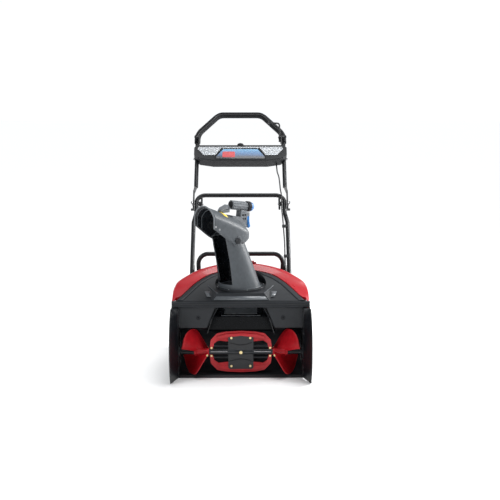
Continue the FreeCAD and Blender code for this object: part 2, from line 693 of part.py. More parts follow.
def grip_cap():
    """Domed end cap of the grip."""
    dome = Part.makeSphere(20, grip_axis(100))
    half = rod(grip_axis(100), grip_axis(130), 30)
    return dome.common(half)


def deflector_trigger():
    """Finger lever behind the stalk that frees the deflector's tilt latch."""
    blade = slab_x([(28.5, 662), (37, 662), (37, 640), (46, 604), (38, 598), (28.5, 640)], -7.4, 7.4)
    return blade.cut(rod_x(-20, 20, TRIGGER_Y, TRIGGER_Z, 2.05))


# ---------- chassis, battery and wheels ----------

def chassis():
    """Black tray behind the intake that holds motor, controller and battery, on the axle."""
    outer = slab_x([(222, 74), (300, 52), (500, 52), (519, 90), (519, 239), (409, 256), (222, 256)], -196, 196)
    inner = slab_x([(222 + WALL, 77), (300, 52 + WALL), (498, 52 + WALL), (519 - WALL, 91), (519 - WALL, 270),
                    (222 + WALL, 270)], -196 + WALL, 196 - WALL)
    shell = outer.cut(inner)
    whole = fused([shell, battery_well()])
    whole = whole.cut(rod_x(-210, 210, AXLE_Y, WHEEL_R, AXLE_R + 0.05))
    whole = whole.cut(rod_x(100, 260, MOTOR_Y, MOTOR_Z, 46.4))
    whole = whole.cut(box(-142, 142, 215, 330, 168, 300))
    return whole


def axle():
    """Steel axle through the chassis."""
    return rod_x(-WHEEL_X - WHEEL_W / 2 - 6, WHEEL_X + WHEEL_W / 2 + 6, AXLE_Y, WHEEL_R, AXLE_R)


def tyre():
    """Treaded tyre."""
    x0, x1 = WHEEL_X - WHEEL_W / 2, WHEEL_X + WHEEL_W / 2
    body = ring_x(x0, x1, AXLE_Y, WHEEL_R, WHEEL_R - 5, 66)
    lugs = []
    count = 20
    for i in range(count):
        lug = box(x0 + 4, x1 - 4, AXLE_Y - 7, AXLE_Y + 7, WHEEL_R + WHEEL_R - 8, 2 * WHEEL_R - 0.0)
        lug.rotate(V(0, AXLE_Y, WHEEL_R), X_AXIS, 360.0 / count * i)
        lugs.append(lug)
    return fused([body] + lugs).common(rod_x(x0, x1, AXLE_Y, WHEEL_R, WHEEL_R))


def rim():
    """Moulded wheel centre with a dished web and a hub."""
    x0, x1 = WHEEL_X - WHEEL_W / 2, WHEEL_X + WHEEL_W / 2
    band = ring_x(x0 + 2, x1 - 2, AXLE_Y, WHEEL_R, 66, 58)
    web = ring_x(WHEEL_X - 4, WHEEL_X + 2, AXLE_Y, WHEEL_R, 60, 14)
    hub = ring_x(x0, x1 - 2, AXLE_Y, WHEEL_R, 17, AXLE_R + 0.06)
    ribs = []
    for i in range(6):
        rib = box(WHEEL_X + 1, x1 - 6, AXLE_Y - 3, AXLE_Y + 3, WHEEL_R + 15, WHEEL_R + 60)
        rib.rotate(V(0, AXLE_Y, WHEEL_R), X_AXIS, 60 * i)
        ribs.append(rib)
    return fused([band, web, hub] + ribs)


def hub_cap():
    """Push-on cap over the end of the axle."""
    x1 = WHEEL_X + WHEEL_W / 2
    cap = rod_x(x1 + 0.4, x1 + 9, AXLE_Y, WHEEL_R, 14)
    return cap.cut(rod_x(x1 - 3, x1 + 6, AXLE_Y, WHEEL_R, AXLE_R))


def battery_well():
    """Open-topped well that guides the battery pack."""
    outer = box(-BATTERY_X - 5, BATTERY_X + 5, BATTERY_Y0 - 3, BATTERY_Y1 + 3, 150, 344)
    inner = box(-BATTERY_X - 2, BATTERY_X + 2, BATTERY_Y0, BATTERY_Y1, 154, 380)
    legs = [box(x, x + 8, 394, 450, 53, 152) for x in (-60, 52)]
    return fused([outer.cut(inner)] + legs)


def battery_pack():
    """Removable battery pack with a grip ridge on its top."""
    body = rounded(box(-BATTERY_X, BATTERY_X, BATTERY_Y0 + 2, BATTERY_Y1 - 2, 154, 346), 6, Z_AXIS)
    ridge = rounded(box(-36, 36, BATTERY_Y0 + 24, BATTERY_Y1 - 24, 340, 368), 6, X_AXIS)
    return body.fuse(ridge).removeSplitter()


LID_HINGE_Y, LID_HINGE_Z = 366.0, 431.0


def battery_lid():
    """Hinged cover over the battery well, with a finger lip at its rear."""
    top = [(372, 430), (398, 425), (427, 410), (454, 396)]
    under = [(454, 386), (450.5, 386), (450.5, 393), (426, 406), (397, 421), (372, 426)]
    panel = slab_x(top + under, -68, 68)
    cheek = [(374, 428), (398, 423), (426, 408), (452, 394), (452, 387), (440, 380), (420, 376), (374, 396)]
    cheeks = [slab_x(cheek, x, x + WALL) for x in (-68, 65)]
    knuckles = []
    for x in (-52, 32):
        knuckles.append(rod_x(x, x + 20, LID_HINGE_Y, LID_HINGE_Z, 5.5))
        knuckles.append(slab_x([(LID_HINGE_Y, LID_HINGE_Z - 3), (LID_HINGE_Y, LID_HINGE_Z + 3), (374, 429.5),
                                (374, 426)], x, x + 20))
    whole = fused([panel] + cheeks + knuckles)
    return whole.cut(rod_x(-70, 70, LID_HINGE_Y, LID_HINGE_Z, 2.55))


def lid_hinge():
    """Hinge pin with three bosses on the crest of the shroud."""
    pieces = [rod_x(-58, 58, LID_HINGE_Y, LID_HINGE_Z, 2.5)]
    for x0, x1 in ((-58, -52.4), (-31.6, 31.6), (52.4, 58)):
        pieces.append(rod_x(x0, x1, LID_HINGE_Y, LID_HINGE_Z, 5.5))
        pieces.append(box(x0, x1, LID_HINGE_Y - 5, LID_HINGE_Y + 2, LID_HINGE_Z - 14, LID_HINGE_Z))
    return fused(pieces).cut(shroud_block(0))


def controller_box():
    """Motor controller with cooling fins."""
    body = box(-70, 40, 304, 390, 55, 120)
    fins = [box(-66 + 13 * i, -61 + 13 * i, 308, 386, 119, 136) for i in range(8)]
    return fused([body] + fins)


# ---------- handle ----------

def lower_handle():
    """Bent tube: two legs that jog inwards at the top and the cross tube that joins them."""
    def half(sign):
        return [V(sign * LEG_X, -70, 0), V(sign * LEG_X, 296, 0), V(sign * LEG_TOP_X, 346, 0)]

    points = half(1) + [V(LEG_TOP_X, CROSS_S, 0), V(-LEG_TOP_X, CROSS_S, 0)] + half(-1)[::-1]
    tube = tube_along(bent_path(points, [60, 60, 42, 42, 60, 60]), TUBE_R)
    for s in (1, -1):
        cheek = box(LEG_TOP_X + 9, LEG_TOP_X + 30, 366, 440, -14, 14)
        tube = tube.cut(cheek if s > 0 else mirrored(cheek))
    tube = tube.cut(rod_x(-240, 240, FOLD_S, 0, 4.05))
    return on_handle(tube)


def leg_bracket():
    """Bracket that bolts the right handle leg to the chassis."""
    plate = slab_x([(424, 200), (505, 200), (516, 330), (492, 392), (448, 392), (424, 300)], 206.6, 209.6)
    spacer = box(196, 207, 440, 500, 202, 232)
    return plate.fuse(spacer).removeSplitter()


def carry_bar_solid(radius):
    """The lifting bar as a bar of any radius."""
    points = [V(181, 446, 222), V(191, 480, 446), V(-191, 480, 446), V(-181, 446, 222)]
    return tube_along(bent_path(points, [44, 44]), radius)


def carry_bar():
    """U-shaped lifting bar behind the shroud."""
    return carry_bar_solid(TUBE_R)


def loop_points(low, shrink=0.0):
    """Corner points of the handle loop, from the right foot over the top to the left foot."""
    return [V(UPPER_X, low, 0), V(UPPER_X, 826, 0), V(108 - shrink, LOOP_S - shrink, 0),
            V(-108 + shrink, LOOP_S - shrink, 0), V(-UPPER_X, 826, 0), V(-UPPER_X, low, 0)]


def upper_handle():
    """Bent tube: the loop with its two legs, flattened where they bolt to the lower handle."""
    tube = tube_along(bent_path(loop_points(500), [90, 56, 56, 90]), TUBE_R)
    parts = [tube]
    for s in (1, -1):
        strap = box(LEG_TOP_X + 10.4, LEG_TOP_X + 17.4, 372, 480, -12, 12)
        strap = rounded(strap, 9, X_AXIS)
        low = Part.Wire(Part.makePolygon([V(LEG_TOP_X + 10.4, 470, -12), V(LEG_TOP_X + 17.4, 470, -12),
                                          V(LEG_TOP_X + 17.4, 470, 12), V(LEG_TOP_X + 10.4, 470, 12),
                                          V(LEG_TOP_X + 10.4, 470, -12)]))
        high = Part.makePolygon([V(UPPER_X - 7, 506, -7), V(UPPER_X + 7, 506, -7), V(UPPER_X + 7, 506, 7),
                                 V(UPPER_X - 7, 506, 7), V(UPPER_X - 7, 506, -7)])
        neck = Part.makeLoft([low, high], True, True)
        tab = box(LEG_TOP_X + 10.4, LEG_TOP_X + 26, 366, 372.5, -5, 5)
        for piece in (strap, neck, tab):
            parts.append(piece if s > 0 else mirrored(piece))
    whole = fused(parts)
    return on_handle(whole.cut(rod_x(-250, 250, FOLD_S, 0, 4.05)))


def handle_grip():
    """Foam sleeve over the loop."""
    path = bent_path(loop_points(772), [90, 56, 56, 90])
    sleeve = tube_along(path, GRIP_R)
    core = tube_along(bent_path(loop_points(700), [90, 56, 56, 90]), TUBE_R)
    return on_handle(sleeve.cut(core))


def handle_bolts():
    """The two carriage bolts that the handle folds on, and two that hold the console."""
    bolts = []
    for s in (1, -1):
        shank = rod_x(176, LEG_TOP_X + 17.4, FOLD_S, 0, 4)
        head = rod_x(LEG_TOP_X + 17.4, LEG_TOP_X + 22, FOLD_S, 0, 9)
        for piece in (shank.fuse(head), rod_x(227.2, 232, 672, 0, 6)):
            bolts.append(piece if s > 0 else mirrored(piece))
    return on_handle(Part.makeCompound(bolts))


def fold_knob(side):
    """Wing knob that clamps the folding joint."""
    stem = rod_x(188, LEG_TOP_X - TUBE_R - 0.6, FOLD_S, 0, 11)
    wing = rounded(box(180, 189, FOLD_S - 31, FOLD_S + 31, -8, 8), 3.5, None)
    whole = fused([stem, wing]).cut(rod_x(170, 230, FOLD_S, 0, 4.05))
    return on_handle(whole if side > 0 else mirrored(whole))


def bail():
    """Thin operator bail nested in front of the grip, standing off it when released."""
    points = [V(UPPER_X, BAIL_S, 0), V(UPPER_X, BAIL_S + 22, 0), V(108, BAIL_S + 134, 0)]
    points += [V(-p.x, p.y, 0) for p in reversed(points)]
    tube = tube_along(bent_path(points, [50, 50, 50, 50]), 5.0)
    feet = []
    for s in (1, -1):
        foot = ring_x(UPPER_X - 6, UPPER_X + 6, BAIL_S, 0, 9, 3.05)
        feet.append(foot if s > 0 else mirrored(foot))
    tube = fused([tube] + feet).cut(rod_x(-240, 240, BAIL_S, 0, 3.05))
    tube.rotate(V(0, BAIL_S, 0), X_AXIS, BAIL_REST)
    tube.translate(V(0, 0, BAIL_N))
    return on_handle(tube)


def lever_brackets():
    """Two ears on the console's ends that carry the bail; the right one carries the start lever too."""
    ears = []
    for s, reach in ((1, 187), (-1, 200)):
        pin = rod_x(reach, UPPER_X + 9, BAIL_S, BAIL_N, 3)
        ear = slab_x([(CONSOLE_HIGH - 6, 12), (BAIL_S + 8, 18), (BAIL_S + 8, 33), (CONSOLE_HIGH - 6, 32)], 201.5, 206)
        piece = pin.fuse(ear).removeSplitter().cut(console_block(0))
        ears.append(piece if s > 0 else mirrored(piece))
    return on_handle(Part.makeCompound(ears))


CONSOLE_OUTLINE = [(-227, 676), (-222, 666), (-198, 646), (-132, CONSOLE_LOW), (132, CONSOLE_LOW), (198, 646),
                   (222, 666), (227, 676), (227, 716), (214, CONSOLE_HIGH), (-214, CONSOLE_HIGH), (-227, 716)]
CONSOLE_FRONT, CONSOLE_BACK = 34.0, -14.5
BUTTON_N = 16.0           # push button's place between the console's faces


def console_block(inset):
    """The console's outer form, drawn in by an inset."""
    middle = (CONSOLE_LOW + CONSOLE_HIGH) / 2
    points = []
    for x, y in CONSOLE_OUTLINE:
        points.append((x - math.copysign(inset, x), y - math.copysign(inset, y - middle)))
    return slab_z(points, CONSOLE_BACK + inset, CONSOLE_FRONT - inset)


def handle_core():
    """The straight lengths of tube that pass through the console."""
    legs = [Part.makeCylinder(TUBE_R + 0.1, 400, V(s * UPPER_X, 480, 0), Y_AXIS) for s in (1, -1)]
    return Part.makeCompound(legs)


def lens_outline():
    """Outline of the clear lens: two lamps joined by a strip along the top."""
    half = [(0, 721), (206, 721), (212, 707), (180, 668), (122, 668), (94, 713), (0, 713)]
    return half + [(-x, y) for x, y in reversed(half[1:-1])]


def grown(outline, extra):
    """An (x, y) outline moved outwards all round."""
    loop = [V(x, y, 0) for x, y in outline]
    face = Part.Face(Part.makePolygon(loop + loop[:1]))
    return [(p.Point.x, p.Point.y) for p in face.makeOffset2D(extra, 2).OuterWire.OrderedVertexes]


def console_front():
    """Front shell of the console, recessed for the lens and the label panel."""
    solid = console_block(0).common(box(-240, 240, 600, 780, 2.2, 40))
    hollow = console_block(WALL).common(box(-240, 240, 600, 780, -10, 31))
    shell = solid.cut(hollow)
    lamps = slab_z(grown(lens_outline(), 0.4), 24, 50)
    label = slab_z(label_outline(0.3), 33.0, 50)
    button = Part.makeCylinder(10.5, 40, V(0, CONSOLE_HIGH - 20, BUTTON_N), Y_AXIS)
    shell = shell.cut(lamps).cut(label).cut(button)
    return on_handle(shell.cut(handle_core()))


def console_back():
    """Rear shell of the console, towards the operator."""
    solid = console_block(0).common(box(-240, 240, 600, 780, -40, 1.8))
    hollow = console_block(WALL).common(box(-240, 240, 600, 780, -11.5, 10))
    shell = solid.cut(hollow)
    return on_handle(shell.cut(handle_core()))


def headlight_lens():
    """One clear moulding over both lamps."""
    return on_handle(slab_z(lens_outline(), 31.2, 34.6))


def headlight_bowls():
    """Two silvered bowls behind the lens with three LED domes in each."""
    bowls = []
    for s in (1, -1):
        outline = [(s * 104, 711), (s * 200, 711), (s * 176, 672), (s * 127, 672)]
        tray = slab_z(outline, 10, 31)
        scoop = slab_z([(s * 112, 708), (s * 192, 708), (s * 172, 675), (s * 131, 675)], 14, 32)
        domes = [Part.makeCylinder(7, 5, V(s * (132 + 20 * i), 692, 13)) for i in range(3)]
        bowls.append(fused([tray.cut(scoop)] + domes))
    return on_handle(Part.makeCompound(bowls))


def label_outline(grow):
    """Outline of the blue label panel, wider at its foot."""
    return [(-118 - grow, 648 - grow), (118 + grow, 648 - grow), (118 + grow, 660), (84 + grow, 706 + grow),
            (-84 - grow, 706 + grow), (-118 - grow, 660)]


def label_panel():
    """Plain coloured label panel in the middle of the console."""
    return on_handle(slab_z(label_outline(0), 33.1, 34.8))


def start_button():
    """Push button in the top of the console."""
    button = Part.makeCylinder(10, 26, V(0, CONSOLE_HIGH - 14, BUTTON_N), Y_AXIS)
    crown = Part.makeCylinder(16, 9, V(0, CONSOLE_HIGH + 6, BUTTON_N), Y_AXIS)
    return on_handle(fused([button, crown]))


def start_lever():
    """Bent lever beside the right end of the bail that arms the motor."""
    points = [V(194, BAIL_S - 22, 0), V(194, BAIL_S + 70, 0), V(138, BAIL_S + 74, 0)]
    tube = tube_along(bent_path(points, [12]), 4.0)
    knob = Part.makeSphere(6.5, V(138, BAIL_S + 74, 0))
    eye = rod_x(189, 200.5, BAIL_S, 0, 8)
    whole = fused([tube, knob, eye]).cut(rod_x(180, 210, BAIL_S, 0, 3.05))
    whole.rotate(V(0, BAIL_S, 0), X_AXIS, 34)
    whole.translate(V(0, 0, BAIL_N))
    return on_handle(whole)


CABLE_SPLIT = 471.0


def cable_points_upper():
    """Route of the control cable above the folding joint."""
    return [V(176, 641, 0), V(177.5, 600, 8), V(179, 580, 12), V(186, 540, 20), V(190.5, CABLE_SPLIT, 22)]


def cable_points_lower():
    """Route of the control cable below the folding joint, down to the chassis."""
    return [V(190.5, CABLE_SPLIT - 0.5, 22), V(194.2, 440, 24), V(194.5, 400, 24), V(194.5, 350, 21), V(198, 296, 18), V(200, 236, 20),
            V(202.4, 176, 16), V(202.0, 116, 18), V(202.3, 56, 12), V(202.3, -4, 10), V(202.2, -64, 2)]


def cable(points):
    """A control cable through a list of corner points, each rounded as much as its runs allow."""
    radii = []
    for a, b, c in zip(points, points[1:], points[2:]):
        one, two = b.sub(a), c.sub(b)
        turn = one.getAngle(two)
        radii.append(0.45 * min(one.Length, two.Length) / math.tan(turn / 2))
        print("cable run %.0f, %.0f, radius %.0f" % (one.Length, two.Length, radii[-1]))
    return tube_along(bent_path(points, radii), 3.2)


def cable_clips():
    """Clips that hold the cable to the right leg."""
    pieces = []
    for s, x, z in ((262, 199.2, 19.2), (100, 202.2, 16.4)):
        clip = box(x - 6, LEG_X - 4, s - 5, s + 5, z - 6, z + 6)
        pieces.append(clip)
    lower = cable_points_lower()
    whole = Part.makeCompound(pieces).cut(cable(lower))
    leg = Part.makeCylinder(TUBE_R, 300, V(LEG_X, 0, 0), Y_AXIS)
    return on_handle(whole.cut(leg))


def main():
    os.makedirs("parts", exist_ok=True)

    def pair(shape):
        return Part.makeCompound([shape, mirrored(shape)])

    makers = {
        "rotor_housing": rotor_housing,
        "discharge_throat": discharge_throat,
        "side_plates": lambda: pair(side_plate()),
        "skids": lambda: pair(skid()),
        "side_covers": lambda: pair(side_cover()),
        "intake_lip": intake_lip,
        "scraper_bar": scraper_bar,
        "rotor_shaft": rotor_shaft,
        "flights": lambda: Part.makeCompound([flights(1), flights(-1)]),
        "paddles": lambda: Part.makeCompound([paddle(True), paddle(False)]),
        "centre_plate": centre_plate,
        "rotor_fasteners": rotor_fasteners,
        "rotor_bearings": lambda: pair(bearing()),
        "rotor_pulley": lambda: pulley(ROTOR_Y, ROTOR_Z, ROTOR_PULLEY_R, SHAFT_R),
        "motor_pulley": lambda: pulley(MOTOR_Y, MOTOR_Z, MOTOR_PULLEY_R, 7),
        "idler_pulley": lambda: pulley(*idler_place(), IDLER_R, 4.05),
        "idler_arm": idler_arm,
        "drive_belt": belt,
        "drive_motor": drive_motor,
        "motor_shaft": motor_shaft,
        "hood": hood,
        "shroud": shroud,
        "chute_flange": lambda: on_chute(chute_flange()),
        "chute_body": lambda: on_chute(chute_body()),
        "deflector": lambda: on_chute(deflector()),
        "deflector_pins": lambda: on_chute(deflector_pins()),
        "chute_grip": lambda: on_chute(chute_grip()),
        "grip_cap": lambda: on_chute(grip_cap()),
        "deflector_trigger": lambda: on_chute(deflector_trigger()),
        "chassis": chassis,
        "axle": axle,
        "hub_caps": lambda: pair(hub_cap()),
        "right_tyre": tyre,
        "left_tyre": lambda: mirrored(tyre()),
        "right_rim": rim,
        "left_rim": lambda: mirrored(rim()),
        "battery_pack": battery_pack,
        "battery_lid": battery_lid,
        "lid_hinge": lid_hinge,
        "controller_box": controller_box,
        "lower_handle": lower_handle,
        "leg_brackets": lambda: pair(leg_bracket()),
        "carry_bar": carry_bar,
        "upper_handle": upper_handle,
        "handle_grip": handle_grip,
        "handle_bolts": handle_bolts,
        "right_fold_knob": lambda: fold_knob(1),
        "left_fold_knob": lambda: fold_knob(-1),
        "bail": bail,
        "lever_brackets": lever_brackets,
        "console_front": console_front,
        "console_back": console_back,
        "headlight_lens": headlight_lens,
        "headlight_bowls": headlight_bowls,
        "label_panel": label_panel,
        "start_button": start_button,
        "start_lever": start_lever,
        "upper_cable": lambda: on_handle(cable(cable_points_upper())),
        "lower_cable": lambda: on_handle(cable(cable_points_lower())),
        "cable_clips": cable_clips,
    }
    for name, make in makers.items():
        save(name, make())
    print(len(makers), "nodes")


main()
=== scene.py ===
import json
import math

import bmesh
import bpy
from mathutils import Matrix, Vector


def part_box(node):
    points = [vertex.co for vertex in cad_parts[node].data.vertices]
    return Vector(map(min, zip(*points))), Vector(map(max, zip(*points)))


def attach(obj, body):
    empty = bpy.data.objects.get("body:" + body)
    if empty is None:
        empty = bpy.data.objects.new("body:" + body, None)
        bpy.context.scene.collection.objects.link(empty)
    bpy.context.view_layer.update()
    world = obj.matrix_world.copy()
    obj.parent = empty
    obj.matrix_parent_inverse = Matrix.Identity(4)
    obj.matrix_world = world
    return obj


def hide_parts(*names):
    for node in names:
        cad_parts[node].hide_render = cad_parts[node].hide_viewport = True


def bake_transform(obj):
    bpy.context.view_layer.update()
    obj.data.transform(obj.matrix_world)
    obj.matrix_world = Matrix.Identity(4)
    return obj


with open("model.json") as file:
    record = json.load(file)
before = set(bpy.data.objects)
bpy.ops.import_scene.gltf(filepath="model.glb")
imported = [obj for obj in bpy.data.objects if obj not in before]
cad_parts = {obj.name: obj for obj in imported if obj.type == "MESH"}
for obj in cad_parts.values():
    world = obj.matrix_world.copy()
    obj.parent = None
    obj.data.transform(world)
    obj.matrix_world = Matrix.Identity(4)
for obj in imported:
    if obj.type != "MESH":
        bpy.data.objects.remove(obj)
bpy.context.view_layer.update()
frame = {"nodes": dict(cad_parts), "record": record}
NODES = frame["nodes"]

# ---------- places: millimetres on the machine to metres in the row frame ----------

MIDDLE_Y = 544.8                        # middle of the overall length
HANDLE_Y, HANDLE_Z = 480.0, 340.0       # foot of the leaning handle
HANDLE_TILT = math.radians(48)          # of the handle above the ground
RING_Y = 235.0                          # axis of the chute
CHUTE_TURN = math.radians(-52)          # about +Z, as the chute stands
PIVOT_Y, PIVOT_Z = -72.0, 562.0         # axis of the deflector, in the chute's own directions
ROTOR_Y, ROTOR_Z = 112.0, 102.0         # axis of the rotor
AXLE_Y, AXLE_Z = 470.0, 101.0           # axis of the wheels
COVER_X = 284.0                         # outer face of a side cover
SIDES = ((1, "right"), (-1, "left"))    # sign in X and the word for it


def on_machine(x, y, z):
    """A point of the machine; Y runs back from the intake's lower front corner."""
    return Vector((x, y - MIDDLE_Y, z)) / 1000


def on_handle(x, s, n):
    """A point of the leaning handle: across, up the handle, out of its front."""
    c, d = math.cos(HANDLE_TILT), math.sin(HANDLE_TILT)
    return on_machine(x, HANDLE_Y + s * c - n * d, HANDLE_Z + s * d + n * c)


def on_chute(x, y, z):
    """A point of the chute, which throws along its own -Y."""
    c, d = math.cos(CHUTE_TURN), math.sin(CHUTE_TURN)
    return on_machine(x * c - y * d, RING_Y + x * d + y * c, z)


# ---------- materials ----------

def material(name, color, rough=0.5, metal=0.0, vary=0.10, scale=60.0, grain=900.0, bump=0.05,
             coat=0.0, second=None, streak=None, wear=0.0, shine=0.5):
    """A surface with cloudy colour and gloss, fine grain and, if asked, light worn edges."""
    mat = bpy.data.materials.new(name)
    mat.use_nodes = True
    tree = mat.node_tree
    tree.nodes.clear()
    link = tree.links.new
    out = tree.nodes.new("ShaderNodeOutputMaterial")
    shader = tree.nodes.new("ShaderNodeBsdfPrincipled")
    link(shader.outputs["BSDF"], out.inputs["Surface"])
    coord = tree.nodes.new("ShaderNodeTexCoord")
    cloud = tree.nodes.new("ShaderNodeTexNoise")
    cloud.inputs["Scale"].default_value = scale
    cloud.inputs["Detail"].default_value = 5
    fine = tree.nodes.new("ShaderNodeTexNoise")
    fine.inputs["Scale"].default_value = grain
    fine.inputs["Detail"].default_value = 3
    if streak:
        stretch = tree.nodes.new("ShaderNodeMapping")
        stretch.inputs["Scale"].default_value = streak
        link(coord.outputs["Object"], stretch.inputs["Vector"])
        source = stretch.outputs["Vector"]
    else:
        source = coord.outputs["Object"]
    link(source, cloud.inputs["Vector"])
    link(source, fine.inputs["Vector"])
    ramp = tree.nodes.new("ShaderNodeValToRGB")
    dark = [c * (1 - vary) for c in color]
    light = list(second) if second else [min(1, c * (1 + vary) + 0.004 * vary) for c in color]
    ramp.color_ramp.elements[0].position = 0.35
    ramp.color_ramp.elements[1].position = 0.68
    ramp.color_ramp.elements[0].color = dark + [1]
    ramp.color_ramp.elements[1].color = light + [1]
    link(cloud.outputs["Fac"], ramp.inputs["Fac"])
    colour_out = ramp.outputs["Color"]
    if wear:
        geometry = tree.nodes.new("ShaderNodeNewGeometry")
        edge = tree.nodes.new("ShaderNodeValToRGB")
        edge.color_ramp.elements[0].position = 0.52
        edge.color_ramp.elements[1].position = 0.62
        edge.color_ramp.elements[1].color = (wear, wear, wear, 1)
        link(geometry.outputs["Pointiness"], edge.inputs["Fac"])
        mix = tree.nodes.new("ShaderNodeMix")
        mix.data_type = "RGBA"
        mix.inputs["B"].default_value = [min(1, c * 1.6 + 0.06) for c in color] + [1]
        link(edge.outputs["Color"], mix.inputs["Factor"])
        link(colour_out, mix.inputs["A"])
        colour_out = mix.outputs["Result"]
    link(colour_out, shader.inputs["Base Color"])
    gloss = tree.nodes.new("ShaderNodeMapRange")
    gloss.inputs["To Min"].default_value = max(0.03, rough - 0.07)
    gloss.inputs["To Max"].default_value = min(1.0, rough + 0.10)
    link(cloud.outputs["Fac"], gloss.inputs["Value"])
    link(gloss.outputs["Result"], shader.inputs["Roughness"])
    shader.inputs["Metallic"].default_value = metal
    shader.inputs["Specular IOR Level"].default_value = shine
    shader.inputs["Coat Weight"].default_value = coat
    shader.inputs["Coat Roughness"].default_value = 0.08
    relief = tree.nodes.new("ShaderNodeBump")
    relief.inputs["Strength"].default_value = min(1.0, bump * 6)
    relief.inputs["Distance"].default_value = 0.0004
    link(fine.outputs["Fac"], relief.inputs["Height"])
    link(relief.outputs["Normal"], shader.inputs["Normal"])
    return mat


def lens_material():
    """Clear moulded lens with fine upright flutes."""
    mat = bpy.data.materials.new("clear_lens")
    mat.use_nodes = True
    tree = mat.node_tree
    shader = tree.nodes["Principled BSDF"]
    shader.inputs["Base Color"].default_value = (0.82, 0.85, 0.88, 1)
    shader.inputs["Roughness"].default_value = 0.10
    shader.inputs["Transmission Weight"].default_value = 0.6
    shader.inputs["IOR"].default_value = 1.3
    coord = tree.nodes.new("ShaderNodeTexCoord")
    wave = tree.nodes.new("ShaderNodeTexWave")
    wave.inputs["Scale"].default_value = 40
    wave.inputs["Distortion"].default_value = 0.6
    relief = tree.nodes.new("ShaderNodeBump")
    relief.inputs["Strength"].default_value = 0.35
    relief.inputs["Distance"].default_value = 0.0006
    tree.links.new(coord.outputs["Object"], wave.inputs["Vector"])
    tree.links.new(wave.outputs["Fac"], relief.inputs["Height"])
    tree.links.new(relief.outputs["Normal"], shader.inputs["Normal"])
    return mat


def label_material():
    """Printed panel that runs from pale blue at the top to deep blue, then grey at its foot."""
    mat = bpy.data.materials.new("label_gradient")
    mat.use_nodes = True
    tree = mat.node_tree
    shader = tree.nodes["Principled BSDF"]
    coord = tree.nodes.new("ShaderNodeTexCoord")
    split = tree.nodes.new("ShaderNodeSeparateXYZ")
    noise = tree.nodes.new("ShaderNodeTexNoise")
    noise.inputs["Scale"].default_value = 9
    noise.inputs["Detail"].default_value = 2
    low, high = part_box("label_panel")
    level = tree.nodes.new("ShaderNodeMapRange")
    level.inputs["From Min"].default_value = low[2]
    level.inputs["From Max"].default_value = high[2]
    ramp = tree.nodes.new("ShaderNodeValToRGB")
    stops = ((0.0, (0.012, 0.013, 0.017)), (0.26, (0.016, 0.024, 0.04)), (0.46, (0.010, 0.075, 0.20)),
             (0.72, (0.018, 0.14, 0.33)), (1.0, (0.07, 0.26, 0.46)))
    while len(ramp.color_ramp.elements) < len(stops):
        ramp.color_ramp.elements.new(0.5)
    for element, (at, colour) in zip(ramp.color_ramp.elements, stops):
        element.position = at
        element.color = colour + (1,)
    blur = tree.nodes.new("ShaderNodeMath")
    blur.operation = "MULTIPLY_ADD"
    blur.inputs[1].default_value = 0.12
    tree.links.new(coord.outputs["Object"], split.inputs["Vector"])
    tree.links.new(coord.outputs["Object"], noise.inputs["Vector"])
    tree.links.new(split.outputs["Z"], level.inputs["Value"])
    tree.links.new(noise.outputs["Fac"], blur.inputs[0])
    tree.links.new(level.outputs["Result"], blur.inputs[2])
    tree.links.new(blur.outputs["Value"], ramp.inputs["Fac"])
    tree.links.new(ramp.outputs["Color"], shader.inputs["Base Color"])
    shader.inputs["Roughness"].default_value = 0.28
    shader.inputs["Coat Weight"].default_value = 0.3
    return mat


